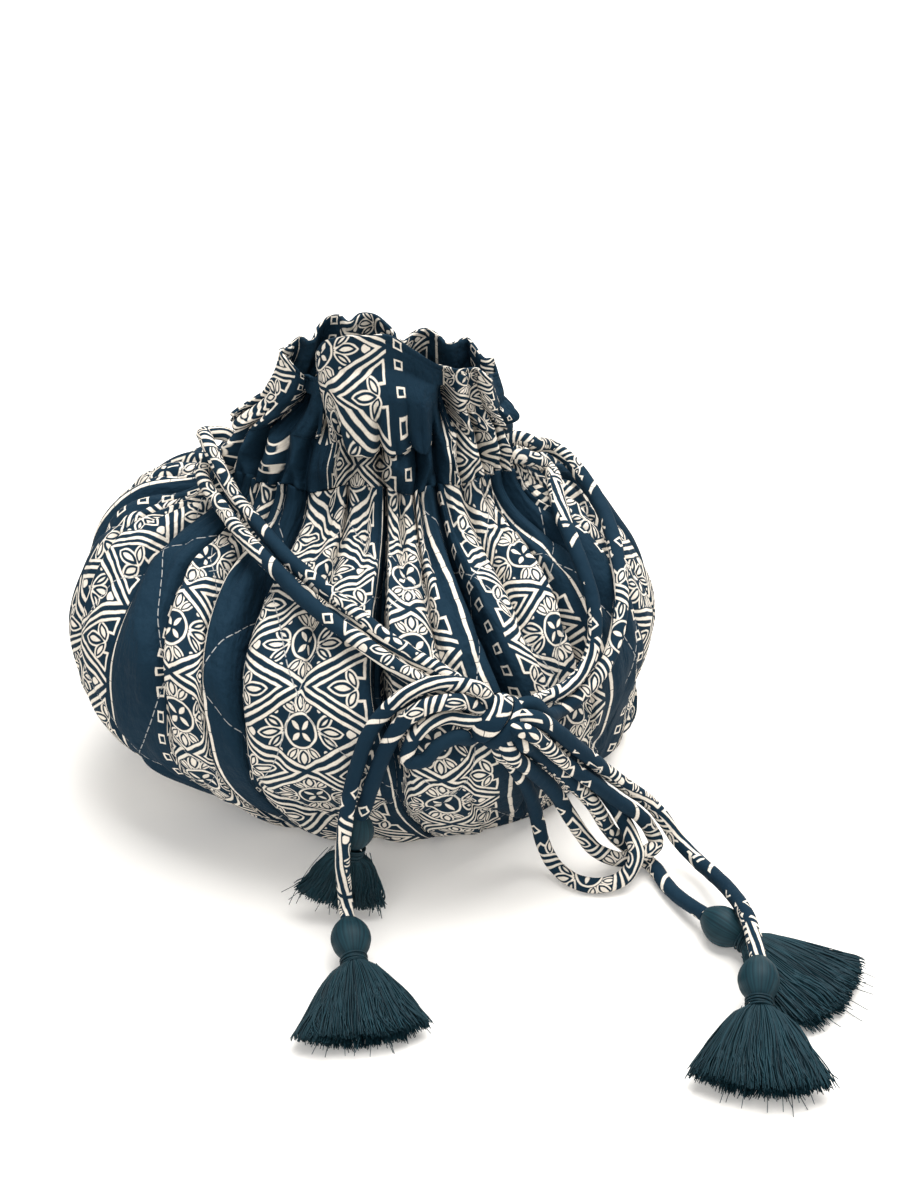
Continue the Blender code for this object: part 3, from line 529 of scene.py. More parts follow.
def casing_piece(material):
    grid, normal, u, v = casing_shape()
    rows = np.linspace(0, CASING_ROWS - 1, 7).astype(int)
    inner = grid[rows] - normal[rows] * CASING_WALL
    return cloth_shell("casing_cloth", grid, inner, (u, v), (u[rows], v[rows]), -STRIP_CLOTH * MM,
                       material, "casing_cotton", ["casing"])


def frill_grid(rows, inset):
    """The frill between its seam and its free edge: pleats below, broad folds above."""
    w = np.linspace(0.0, 1.0, rows)[:, None]
    turn = np.radians(EDGE_ANGLE)[None]
    seam = smooth_rows(turn.repeat(3, 0), np.array([CASING_END - 0.02, CASING_END, CASING_END + 0.02]))
    low, flat = seam[1], unit(normals_of(seam)[1] * np.array([1.0, 1.0, 0.0]))
    grid = low[None] + (EDGE - low)[None] * (1.0 - (1.0 - w) ** 2.1)[..., None]
    grid[..., 2] = low[:, 2] + (EDGE[:, 2] - low[:, 2])[None] * w
    fade = 1.0 - smoothstep(w, 0.06, 0.55)
    sway = EDGE_ANGLE[None] + 3.0 * w * np.sin(turn * 9)
    drawn = pleats(sway, 0.65 - 0.45 * smoothstep(w, 0.0, 0.3))
    drawn = drawn + cord_bed(EDGE_ANGLE[None], np.array([CASING_END]))
    flap = smoothstep(EDGE[:, 0], -40.0, -34.0) * (1 - smoothstep(EDGE[:, 0], 0.0, 9.0)) * (EDGE[:, 1] < 12)
    hollow = np.zeros(FRILL_COLUMNS)
    for spot in HOLLOWS:
        near = np.linalg.norm(EDGE[:, :2] - spot, axis=1)
        hollow = np.maximum(hollow, 1.0 - smoothstep(near, 3.0, 9.0))
    depth = drawn * fade + 14.0 * hollow[None] * hump(w, 0.7, 0.7)
    u = np.broadcast_to(strip_u(), grid.shape[:2])
    v = np.broadcast_to(0.027 + w * FRILL_HEIGHT * MM, grid.shape[:2])
    soft = waves(u, v, 31, 20, 0.06, 0.013, 0.55) * smoothstep(w, 0.02, 0.25)
    soft = soft + waves(u, v, 32, 10, 0.05, 0.04, 0.9) * smoothstep(w, 0.1, 0.6)
    # standing cloth stands a little off the seam, then leans back to the folds
    swell = 2.2 * hump(w, 1 / 3, 0.8) + flap[None] * 9.0 * hump(w, 0.7, 0.55)
    grid = grid - flat[None] * (depth - swell - soft)[..., None]
    # the flap sags over the casing
    grid[..., 2] -= flap[None] * 11.0 * hump(w, 0.42, 0.9)
    hem = -0.5 * np.exp(-((w - 0.93) / 0.012) ** 2)
    return grid + normals_of(grid) * (hem[..., None] - inset), u, v


def frill_piece(material):
    outer, u, v = frill_grid(58, 0.0)
    inner, ui, vi = frill_grid(34, FRILL_WALL)
    return cloth_shell("frill_cloth", outer, inner, (u, v), (ui + 0.031, vi), -STRIP_CLOTH * MM,
                       material, "frill_cotton", ["frill"])


def body_piece(material):
    grid, normal, u, v = body_grid()
    grid[..., 2] = np.maximum(grid[..., 2], 0.05)
    rows = np.unique(np.linspace(0, ROWS - 1, 24).astype(int))
    inner = grid[rows] - normal[rows] * BODY_WALL
    return cloth_shell("body_cloth", grid, inner, (u, v), (u[rows], v[rows]), BODY_CLOTH,
                       material, "quilted_cotton", ["quilted_body"])


def base_piece(material):
    """The round bottom, under the seam that the side cloth is puckered into."""
    edge = smooth_rows(round_angles(180)[None], np.array([0.0]))[0]
    r = np.linspace(0.02, 0.992, 26)[:, None, None]
    flat = edge[None] * r
    u, v = flat[..., 0] * MM, flat[..., 1] * MM
    d = stitch_distance(u, v)
    dent = 0.5 * np.exp(-(d / 0.0035) ** 2) + 0.25 * (1 - r[..., 0] ** 8)
    under = flat + dent[..., None] * np.array([0, 0, 1.0])
    top = flat + np.array([0, 0, BASE_WALL])
    m = Mesh()
    a = m.grid(under[::-1], wrap(u[::-1]), wrap(v[::-1]))
    b = m.grid(top, wrap(u), wrap(v))
    m.rim(b[-1], a[0], wrap(u[-1:])[0], wrap(v[-1:])[0])
    m.grid(np.stack([under[0], top[0]]), wrap(u[:2]), wrap(v[:2]), flip=True)
    return m.build("base_cloth", material, "base_cotton", ["base_panel"])


# ---- cords, knot and tassels ----
# centre lines in millimetres, as the part's source lays them
CORDS = {
    "left_strand_a": [
        (-82.3, 19.4, 140.8), (-85.3, 18.5, 142.2), (-92.5, 13.8, 138.2), (-92.0, 7.8, 137.4),
        (-86.6, -2.3, 134.3), (-80.7, -12.6, 132.2), (-74.9, -23.0, 130.9), (-68.8, -33.3, 129.8),
        (-62.1, -43.1, 128.6), (-55.0, -52.7, 127.0), (-47.6, -61.6, 124.2), (-39.2, -69.6, 121.0),
        (-30.1, -76.5, 117.6), (-20.6, -82.6, 113.7), (-11.0, -88.0, 109.1), (-0.7, -91.9, 104.0),
        (9.8, -94.2, 98.5), (18.4, -95.3, 91.3), (20.1, -95.1, 86.4), (22.8, -96.4, 85.7),
    ],
    "left_strand_b": [
        (-79.6, 25.0, 146.5), (-82.4, 26.5, 147.9), (-92.0, 25.0, 149.6), (-90.5, 16.4, 151.6),
        (-84.5, 5.2, 144.6), (-76.9, -5.5, 135.8), (-70.5, -15.0, 133.0), (-64.2, -24.9, 131.4),
        (-58.1, -35.0, 130.1), (-51.6, -44.8, 128.8), (-44.0, -53.7, 127.2), (-35.6, -61.8, 124.6),
        (-26.9, -69.2, 121.3), (-18.0, -76.1, 117.5), (-8.6, -81.9, 113.1), (1.0, -86.3, 108.7),
        (11.3, -89.0, 103.9), (20.3, -91.0, 97.2), (22.6, -90.9, 93.0), (25.1, -93.1, 91.1),
    ],
    "right_strand_a": [
        (39.1, 19.4, 141.0), (42.0, 18.2, 142.3), (51.1, 20.7, 137.9), (53.9, 24.8, 134.2),
        (56.8, 22.4, 132.0), (58.1, 11.1, 131.0), (59.0, -1.7, 129.9), (61.0, -13.4, 127.7),
        (64.4, -23.7, 123.1), (68.2, -32.9, 116.5), (71.3, -41.4, 108.5), (72.5, -49.4, 99.7),
        (70.5, -57.3, 91.4), (65.2, -65.7, 86.1), (57.1, -74.1, 84.9), (46.8, -81.5, 84.8),
        (40.7, -89.3, 82.8), (39.3, -91.9, 84.0),
    ],
    "right_strand_b": [
        (37.8, 25.3, 145.6), (40.9, 26.3, 146.7), (50.8, 29.4, 141.5), (52.6, 36.8, 138.1),
        (57.7, 43.1, 133.5), (64.8, 40.0, 129.4), (71.1, 30.8, 125.6), (76.2, 20.1, 121.8),
        (80.0, 9.3, 118.4), (82.2, -2.0, 115.2), (83.7, -13.1, 110.9), (84.6, -23.5, 104.9),
        (84.2, -33.3, 97.8), (82.1, -42.6, 90.4), (77.8, -51.6, 83.9), (71.5, -60.7, 79.6),
        (63.8, -69.8, 77.7), (56.2, -78.8, 78.1), (51.4, -88.8, 83.6), (43.9, -93.5, 92.8),
        (40.9, -94.6, 92.9),
    ],
    "tail_left_front": [
        (27.8, -96.2, 96.9), (25.5, -95.6, 100.1), (17.8, -96.2, 103.9), (6.6, -98.6, 106.0),
        (-4.2, -101.2, 102.6), (-13.1, -103.8, 95.2), (-19.4, -107.0, 85.6), (-23.2, -109.8, 74.5),
        (-26.1, -112.0, 63.1), (-28.0, -117.5, 53.5), (-29.0, -121.5, 44.0), (-29.5, -123.0, 34.0),
        (-29.2, -123.4, 26.0), (-28.8, -124.4, 20.0), (-28.2, -127.3, 16.0), (-27.3, -132.5, 14.2),
    ],
    "tail_left_rear": [
        (23.3, -97.5, 94.1), (20.4, -97.9, 96.6), (14.5, -102.2, 100.2), (3.7, -104.7, 99.8),
        (-5.7, -106.9, 93.1), (-11.7, -109.0, 82.9), (-15.8, -110.3, 71.5), (-19.3, -110.8, 60.2),
        (-21.4, -110.2, 52.8), (-22.7, -109.3, 49.0),
    ],
    "loop_left": [
        (21.0, -101.2, 90.1), (17.7, -101.5, 91.0), (13.1, -102.3, 93.1), (4.7, -105.4, 92.1),
        (-2.2, -109.0, 85.5), (-3.2, -111.2, 78.4), (2.2, -110.9, 78.4), (9.1, -108.6, 84.5),
        (17.4, -105.1, 85.7), (19.8, -102.6, 82.7), (22.8, -101.4, 83.4),
    ],
    "loop_right_lower": [
        (31.6, -100.9, 79.1), (32.3, -100.7, 75.3), (35.7, -96.5, 68.5), (40.2, -92.7, 58.2),
        (44.3, -89.2, 47.6), (47.3, -85.7, 36.3), (49.5, -83.1, 24.6), (52.0, -83.6, 13.5),
        (56.7, -88.8, 5.9), (64.5, -96.0, 3.5), (74.8, -99.1, 3.5), (84.9, -97.6, 6.3),
        (90.3, -93.4, 14.4), (88.4, -85.9, 19.6), (84.0, -80.3, 26.1), (77.7, -80.3, 36.6),
        (71.2, -82.2, 47.2), (64.4, -84.6, 57.2), (57.4, -87.6, 66.9), (50.4, -91.8, 76.0),
        (45.0, -97.9, 83.3), (41.9, -98.0, 84.9),
    ],
    "loop_right_upper": [
        (34.1, -105.0, 82.5), (35.9, -106.2, 79.1), (40.8, -101.3, 70.1), (46.5, -95.9, 60.8),
        (52.0, -91.4, 51.8), (57.4, -88.5, 41.8), (62.4, -86.6, 30.9), (67.9, -85.8, 20.1),
        (75.2, -86.3, 10.9), (84.9, -87.5, 7.6), (94.5, -87.3, 10.9), (99.8, -81.4, 11.4),
        (97.3, -79.5, 17.1), (91.7, -82.3, 27.1), (83.7, -85.4, 36.2), (76.1, -88.4, 45.0),
        (68.5, -91.1, 53.7), (60.8, -93.8, 62.4), (54.2, -97.4, 71.5), (48.2, -101.8, 81.4),
        (41.4, -105.5, 88.8), (37.8, -104.0, 89.3),
    ],
    "tail_right_front": [
        (40.8, -99.9, 91.2), (44.5, -100.4, 91.4), (51.2, -96.9, 85.4), (58.7, -93.7, 76.3),
        (65.5, -90.1, 67.0), (72.5, -86.4, 57.9), (79.4, -82.8, 48.7), (86.9, -79.6, 39.7),
        (95.1, -77.2, 31.3), (102.6, -77.7, 21.9), (109.4, -81.6, 13.0), (116.2, -89.5, 9.1),
        (121.5, -100.3, 11.0), (125.8, -113.5, 14.5), (128.8, -127.0, 18.2), (130.4, -139.0, 20.0),
        (131.2, -150.0, 19.6), (131.4, -158.5, 18.5),
    ],
    "tail_right_rear": [
        (38.7, -102.3, 83.2), (41.2, -103.3, 81.0), (44.1, -98.4, 75.5), (49.6, -92.9, 66.9),
        (56.5, -89.7, 57.8), (63.7, -87.8, 48.3), (70.6, -86.2, 38.6), (75.9, -84.4, 28.2),
        (81.2, -81.8, 16.9), (90.3, -78.8, 5.2), (98.2, -86.6, 3.4), (102.9, -98.6, 3.6),
        (108.2, -109.5, 5.2), (114.0, -119.2, 7.8), (116.3, -122.6, 8.6),
    ],
}
# each tassel in millimetres: where its cord ends, the tip of its skirt, its head's radius and length,
# and the skirt's half width and half thickness at the tip
TASSELS = {
    "left_front": ((-27.3, -132.5, 14.2), (-18.5, -189.0, 5.4), 8.0, 18.0, 26.0, 4.8),
    "left_rear": ((-22.7, -109.3, 49.0), (-33.0, -114.0, 6.0), 7.0, 15.0, 18.0, 3.5),
    "right_front": ((131.4, -158.5, 18.5), (125.5, -214.0, 6.0), 8.0, 18.0, 27.0, 5.0),
    "right_rear": ((116.3, -122.6, 8.6), (164.9, -167.4, 4.8), 8.0, 18.0, 24.0, 4.2),
}
KNOT_CENTRE = np.array((31.8, -98.3, 88.3))
KNOT_FRAME = np.array(((0.884, 0.468, 0.0), (-0.179, 0.337, 0.924), (0.433, -0.817, 0.382)))
SKIRT_THREADS = 1250
SKIRT_TUFTS = 46
STRAYS = 16


def resample(line, pitch):
    line = np.asarray(line, float)
    along = arc_length(line)
    count = max(8, int(round(along[-1] / pitch)))
    centre = smooth_through(along, line, np.linspace(0.0, along[-1], count + 1))
    return centre, arc_length(centre)[-1]


def frames_along(centre, start_side=None):
    """Tangents and sides that turn with the line and never spin."""
    tangent = unit(np.gradient(centre, axis=0))
    side = np.cross(tangent[0], (0.0, 0.0, 1.0)) if start_side is None else np.array(start_side, float)
    if np.linalg.norm(side) < 0.1:
        side = np.cross(tangent[0], (0.0, 1.0, 0.0))
    sides = []
    for t in tangent:
        side = side - t * np.dot(side, t)
        side = side / np.linalg.norm(side)
        sides.append(side)
    return tangent, np.array(sides)


def sweep(mesh, centre, radius, sides=16, squash=(1.0, 1.0), profile=None, start_side=None, u0=0.0, caps=True):
    """Adds a tube round a line. squash is its (across, thick) pair, profile changes the radius by angle."""
    tangent, side = frames_along(centre, start_side)
    up = np.cross(tangent, side)
    turn = round_angles(sides)
    r = np.broadcast_to(np.asarray(radius, float).reshape(-1, 1), (len(centre), sides))
    if profile is not None:
        r = r * profile(turn, len(centre))
    wide, thick = squash
    ring = ((np.cos(turn) * wide)[None, :, None] * side[:, None]
            + (np.sin(turn) * thick)[None, :, None] * up[:, None])
    points = centre[:, None] + ring * r[..., None]
    u = np.broadcast_to(arc_length(centre)[:, None] * MM + u0, (len(centre), sides + 1))
    v = np.broadcast_to(np.arange(sides + 1) / sides * 2 * np.pi * np.mean(radius) * MM, u.shape)
    mesh.grid(points, u, v)
    if not caps:
        return
    for row, inward in ((0, 1), (-1, -1)):
        tip = centre[row] - inward * tangent[row] * np.mean(radius) * 0.25
        small = tip + (points[row] - centre[row]) * 0.45
        mesh.grid(np.stack([small, points[row]][::inward]), u[:2], v[:2])


def cord_profile(seed):
    """A sewn tube of cloth: a little flat, with its seam's ridge and soft creases along it."""
    phase = np.random.default_rng(seed).uniform(0, 2 * np.pi, 4)

    def profile(turn, rows):
        s = np.arange(rows)[:, None]
        seam = 0.07 * np.exp(-((np.angle(np.exp(1j * (turn[None] - 0.6 - 0.012 * s)))) / 0.30) ** 2)
        dip = -0.05 * np.exp(-((np.angle(np.exp(1j * (turn[None] - 1.15 - 0.012 * s)))) / 0.25) ** 2)
        flat = 0.05 * np.cos(2 * (turn[None] + phase[0] + 0.02 * s))
        crease = 0.025 * np.sin(0.9 * s + 2 * turn[None] + phase[1]) * np.sin(0.13 * s + phase[2])
        crease = crease + 0.02 * np.sin(0.37 * s + phase[3] + turn[None])
        return 0.98 + seam + dip + flat + crease

    return profile


def cord_line(name):
    """The visible line: the part's own, carried on a little into the knot and into its pocket."""
    line = np.array(CORDS[name], float)
    for end, beside in ((0, 1), (-1, -2)):
        to_knot = KNOT_CENTRE - line[end]
        if np.linalg.norm(to_knot) < 16.0:
            extra = line[end] + unit(to_knot) * 5.0
        elif name.endswith(("strand_a", "strand_b")) and end == 0:
            extra = line[end] + unit(line[end] - line[beside]) * 3.5
        else:
            continue
        line = np.vstack([extra, line]) if end == 0 else np.vstack([line, extra])
    return line


def cord_piece(name, number, material):
    centre, length = resample(cord_line(name), 1.5)
    from_knot = np.linalg.norm(centre - KNOT_CENTRE, axis=1)
    radius = np.interp(from_knot, [5.0, 13.0], [2.6, CORD_R])
    mesh = Mesh()
    sweep(mesh, centre, radius, 18, profile=cord_profile(40 + number), u0=0.37 * number)
    obj = mesh.build("cord_" + name, material, "cord_cotton", [name])
    return obj, centre, length


def knot_point(x, y, z):
    return KNOT_CENTRE + np.stack([x, y, z], -1) @ KNOT_FRAME


def knot_piece(material):
    """The knot: cloth cord wound round the bundle in slanting, flattened turns, over a core."""
    mesh = Mesh()
    axis = np.array([0.74, -0.67])
    band = np.array([0.67, 0.74])
    turns = [(-4.6, 8.6, 6.3, 0.0), (2.6, 9.4, 6.9, 0.4), (8.2, 6.6, 5.4, -0.3)]
    for number, (shift, reach, rise, skew) in enumerate(turns):
        a = np.linspace(0, 2 * np.pi, 49)
        drift = shift + skew * 2.0 * np.sin(a) + 1.2 * np.cos(a)
        x = axis[0] * drift + band[0] * reach * np.cos(a)
        y = axis[1] * drift + band[1] * reach * np.cos(a)
        centre = knot_point(x, y, rise * np.sin(a))
        tangent = unit(np.gradient(centre, axis=0))
        start = np.cross(tangent[0], unit(centre[0] - KNOT_CENTRE))
        sweep(mesh, centre, np.full(len(a), 3.1), 16, squash=(1.28, 0.62), start_side=start,
              profile=cord_profile(70 + number), u0=0.071 + 0.013 * number, caps=False)
    polar = np.linspace(0.1, np.pi - 0.1, 20)[:, None]
    turn = round_angles(32)[None]
    core = knot_point(8.6 * np.cos(polar) + 0 * turn, 7.2 * np.sin(polar) * np.cos(turn),
                      5.6 * np.sin(polar) * np.sin(turn))
    u = np.broadcast_to(polar * 0.008 + 0.075, (20, 33))
    v = np.broadcast_to(np.arange(33)[None] * 0.0014, (20, 33))
    mesh.grid(core, u, v, flip=True)
    return mesh.build("knot_cloth", material, "cord_cotton", ["bow_knot"])


def tassel_frame(start, tip):
    start = np.array(start)
    axis = np.array(tip) - start
    length = np.linalg.norm(axis)
    axis = axis / length
    spread_over = (0.0, 1.0, 0.0) if abs(axis[2]) > 0.7 else (0.0, 0.0, 1.0)
    side = unit(np.cross(axis, spread_over))
    return (start, axis, side, np.cross(side, axis)), length


def lathe(mesh, place, s, r, count=48, ripple=None):
    """A round body about an axis. s and r are its profile along the axis."""
    origin, axis, side, up = place
    turn = round_angles(count)
    radius = r[:, None] * np.ones((1, count))
    if ripple is not None:
        radius = radius * ripple(turn[None], s[:, None])
    points = origin + axis * s[:, None, None] + radius[..., None] * (
        np.cos(turn)[:, None] * side + np.sin(turn)[:, None] * up)[None]
    u = np.broadcast_to(s[:, None] * MM, (len(s), count + 1))
    v = np.broadcast_to(np.arange(count + 1)[None] / count * 2 * np.pi * r.max() * MM, u.shape)
    mesh.grid(points, u, v)


def tassel_head(place, number, head_r, head_length):
    """The head, wound with thread, and the small disc that closes it."""
    head = Mesh()
    s = np.linspace(0.0, 1.0, 26)
    r = head_r * np.sin(np.pi * (0.10 + 0.78 * s)) ** 0.72

    def threads(turn, at):
        fine = np.abs(np.sin(24 * turn + 1.5 * np.sin(0.22 * at) + 0.5 * np.sin(3 * turn)))
        return 0.955 + 0.045 * fine + 0.02 * np.sin(3 * turn + number)

    lathe(head, place, s * head_length - 0.6, r, 96, threads)
    lathe(head, place, np.array([-0.55, -0.6]), np.array([r[0], 0.3]), 96)
    return head


def tassel_binding(place, number, at):
    """Seven turns of thread round the neck, each a little uneven."""
    start, axis, side, up = place
    wound = Mesh()
    a = round_angles(40)
    for i in range(7):
        ring_r = 4.9 + 0.35 * np.sin(1.9 * i + number)
        tilt = 0.35 * np.sin(a + 1.3 * i)
        centre = start + axis * (at - 0.6 + 0.62 * i + tilt)[:, None] + ring_r * (
            np.cos(a)[:, None] * side + np.sin(a)[:, None] * up)
        sweep(wound, np.vstack([centre, centre[:1]]), np.full(41, 0.42), 6, caps=False)
    return wound


def tassel_skirt(place, number, at, length, half_width, half_thick, fullness):
    """Threads in tufts that spread towards the tip, over a dark core that keeps light out."""
    start, axis, side, up = place
    rng = np.random.default_rng(90 + number)
    skirt = Mesh()
    span = length - at
    s = np.linspace(0.0, 0.72, 10)
    turn = round_angles(28)
    wide = 4.0 + (half_width * 0.72 - 4.0) * s**0.8
    thick = 4.0 + (half_thick * 0.5 - 4.0) * s
    core = (start + axis * (at + s[:, None, None] * span)
            + np.cos(turn)[None, :, None] * side * wide[:, None, None]
            + np.sin(turn)[None, :, None] * up * thick[:, None, None]
            - axis * (span * 0.20 * s**2)[:, None, None] * (np.cos(turn) ** 2)[None, :, None])
    flat_uv = np.zeros((10, 29))
    skirt.grid(core, flat_uv, flat_uv)
    t = np.linspace(0, 1, 11)
    thin = 0.31 * np.interp(t, [0, 0.9, 1], [1.0, 0.95, 0.55])
    tuft_turn = (np.arange(SKIRT_TUFTS) + rng.uniform(-0.4, 0.4, SKIRT_TUFTS)) * 2 * np.pi / SKIRT_TUFTS
    tuft_bend = rng.normal(0, 1.7, (SKIRT_TUFTS, 2))
    tuft_reach = rng.normal(0, 0.020, SKIRT_TUFTS)
    tuft_wave = rng.uniform(0, 6.3, SKIRT_TUFTS)
    for i in range(SKIRT_THREADS):
        tuft = i % SKIRT_TUFTS
        a = tuft_turn[tuft] + rng.normal(0, 0.09)
        fill = rng.uniform(0.12, 1.0) ** 0.45
        c, d = np.cos(a) * fill, np.sin(a) * fill
        reach = 0.985 + tuft_reach[tuft] + rng.normal(0, 0.014)
        bend = tuft_bend[tuft] + rng.normal(0, 0.7, 2)
        w = 4.4 + (half_width * (1 + rng.normal(0, 0.02)) - 4.4) * t**fullness
        h = 4.4 + (half_thick - 4.4) * t
        wobble = np.sin(t * np.pi * 1.9 + tuft_wave[tuft] + rng.normal(0, 0.35)) * t
        line = (start + axis * ((at - 1.0) + t * span * reach)[:, None]
                + side * (c * w + bend[0] * wobble * 0.8)[:, None]
                + up * (d * h + bend[1] * wobble * 0.55)[:, None]
                - axis * (span * 0.16 * t**2 * c**2)[:, None])
        line[:, 2] = np.maximum(line[:, 2], 0.35)
        sweep(skirt, line, thin, 3, u0=rng.uniform(0, 1), caps=False)
    strays(skirt, place, length, rng)
    return skirt


def strays(mesh, place, length, rng):
    """Loose threads that stick out of the skirt."""
    start, axis, side, up = place
    t = np.linspace(0.35, 1, 12)
    for _ in range(STRAYS):
        c = rng.uniform(-1, 1)
        out = rng.uniform(1.02, 1.13)
        curl = rng.normal(0, 2.6, 2)
        line = (start + axis * (t * length * out)[:, None]
                + side * (c * 25 * t**1.3 + curl[0] * np.sin(3 * t))[:, None]
                + up * (curl[1] * t**2)[:, None] - axis * (length * 0.13 * t**2 * c * c)[:, None])
        line[:, 2] = np.maximum(line[:, 2], 0.3)
        sweep(mesh, line, np.full(12, 0.17), 3, u0=rng.uniform(0, 1), caps=False)


def tassel_pieces(key, number, thread, binding):
    start, tip, head_r, head_length, half_width, half_thick = TASSELS[key]
    place, length = tassel_frame(start, tip)
    at = head_length + 0.2
    fullness = 0.45 if key == "left_rear" else 0.60
    head = tassel_head(place, number, head_r, head_length)
    wound = tassel_binding(place, number, at)
    skirt = tassel_skirt(place, number, at + 3.6, length, half_width, half_thick, fullness)
    name = key + "_tassel_"
    return [head.build(name + "head_threads", thread, "tassel_thread", [name + "head"]),
            wound.build(name + "binding_threads", binding, "binding_thread", [name + "binding"]),
            skirt.build(name + "skirt_threads", thread, "tassel_thread", [name + "skirt"])]


# ---- materials ----
NAVY = (0.0042, 0.0175, 0.034)
NAVY_WORN = (0.0088, 0.029, 0.050)
CREAM = (0.87, 0.81, 0.72)
CREAM_SHADE = (0.75, 0.69, 0.60)
STITCH_COLOUR = (0.42, 0.43, 0.43)
# the lattice band in millimetres: half its width, half a rhombus's height, and the distance from a
# rhombus's middle to its side
BAND_HALF, RHOMB_HALF, RHOMB_SIDE = 28.5, 17.0, 14.6


class Value:
    """A socket of a material that plain arithmetic can build on."""

    def __init__(self, tree, socket):
        self.tree = tree
        self.socket = socket

    def op(self, kind, *others, clamp=False):
        return node_of(self.tree, "ShaderNodeMath", {"operation": kind, "use_clamp": clamp}, [self, *others])

    def __add__(self, other):
        return self.op("ADD", other)

    def __sub__(self, other):
        return self.op("SUBTRACT", other)

    def __mul__(self, other):
        return self.op("MULTIPLY", other)

    def __truediv__(self, other):
        return self.op("DIVIDE", other)

    def __abs__(self):
        return self.op("ABSOLUTE")

    def max(self, other):
        return self.op("MAXIMUM", other)

    def min(self, other):
        return self.op("MINIMUM", other)

    def ramp(self, slope, start):
        """slope times the value, plus start, kept between nought and one."""
        return self.op("MULTIPLY_ADD", slope, start, clamp=True)

    def below(self, edge, soft=0.13):
        """One where the value is under the edge, and nought over it."""
        return self.ramp(-0.5 / soft, 0.5 * edge / soft + 0.5)

    def above(self, edge, soft=0.13):
        return self.ramp(0.5 / soft, -0.5 * edge / soft + 0.5)

    def line(self, centre, half, soft=0.13):
        return abs(self - centre).below(half, soft)

    def cycle(self, period):
        return self.op("FLOORED_MODULO", period)

    def fold(self, half):
        """Distance to the nearest multiple of twice the half period."""
        return self.op("PINGPONG", half)


def node_of(tree, kind, settings, values, output=0):
    """Adds a node with its settings and input values, by place or by name, and gives its output."""
    node = tree.nodes.new(kind)
    for key, value in settings.items():
        setattr(node, key, value)
    pairs = values.items() if isinstance(values, dict) else enumerate(values)
    for key, value in pairs:
        if isinstance(value, Value):
            tree.links.new(value.socket, node.inputs[key])
        else:
            node.inputs[key].default_value = value
    return Value(tree, node.outputs[output])


def combine(tree, x, y):
    return node_of(tree, "ShaderNodeCombineXYZ", {}, [x, y])


def split(tree, vector):
    x = node_of(tree, "ShaderNodeSeparateXYZ", {}, [vector])
    return x, Value(tree, x.socket.node.outputs[1])


def mapping(tree, vector, settings=None, **values):
    return node_of(tree, "ShaderNodeMapping", settings or {}, {"Vector": vector, **values})


def vector_math(tree, operation, values, output=0):
    return node_of(tree, "ShaderNodeVectorMath", {"operation": operation}, values, output)


def noise(tree, vector, scale, detail=2.0, output=0):
    return node_of(tree, "ShaderNodeTexNoise", {}, {"Vector": vector, "Scale": scale, "Detail": detail}, output)


def mix(tree, factor, first, second):
    """A colour between two, each a value or a plain (red, green, blue)."""
    first, second = (c if isinstance(c, Value) else (*c, 1.0) for c in (first, second))
    return node_of(tree, "ShaderNodeMix", {"data_type": "RGBA"}, {0: factor, 6: first, 7: second}, 2)


def new_material(name, roughness, specular):
    mat = bpy.data.materials.new(name)
    mat.use_nodes = True
    shader = mat.node_tree.nodes["Principled BSDF"]
    shader.inputs["Roughness"].default_value = roughness
    shader.inputs["Specular IOR Level"].default_value = specular
    return mat, mat.node_tree, shader


def leaf(tree, place, centre, turn_deg, a, b):
    """Distance outside a pointed leaf of half length a and half width b."""
    rc = (a * a + b * b) / (2 * b)
    local = mapping(tree, place, {"vector_type": "TEXTURE"}, Location=(*centre, 0.0),
                    Rotation=(0.0, 0.0, np.radians(turn_deg)))
    moved = vector_math(tree, "ADD", [vector_math(tree, "ABSOLUTE", [local]), (0.0, rc - b, 0.0)])
    return vector_math(tree, "LENGTH", [moved], 1) - rc


def petal(d, width=0.66, gap=0.85):
    """An outlined leaf with a small solid kernel."""
    return d.line(-0.5 * width, 0.5 * width).max(d.below(-width - gap))


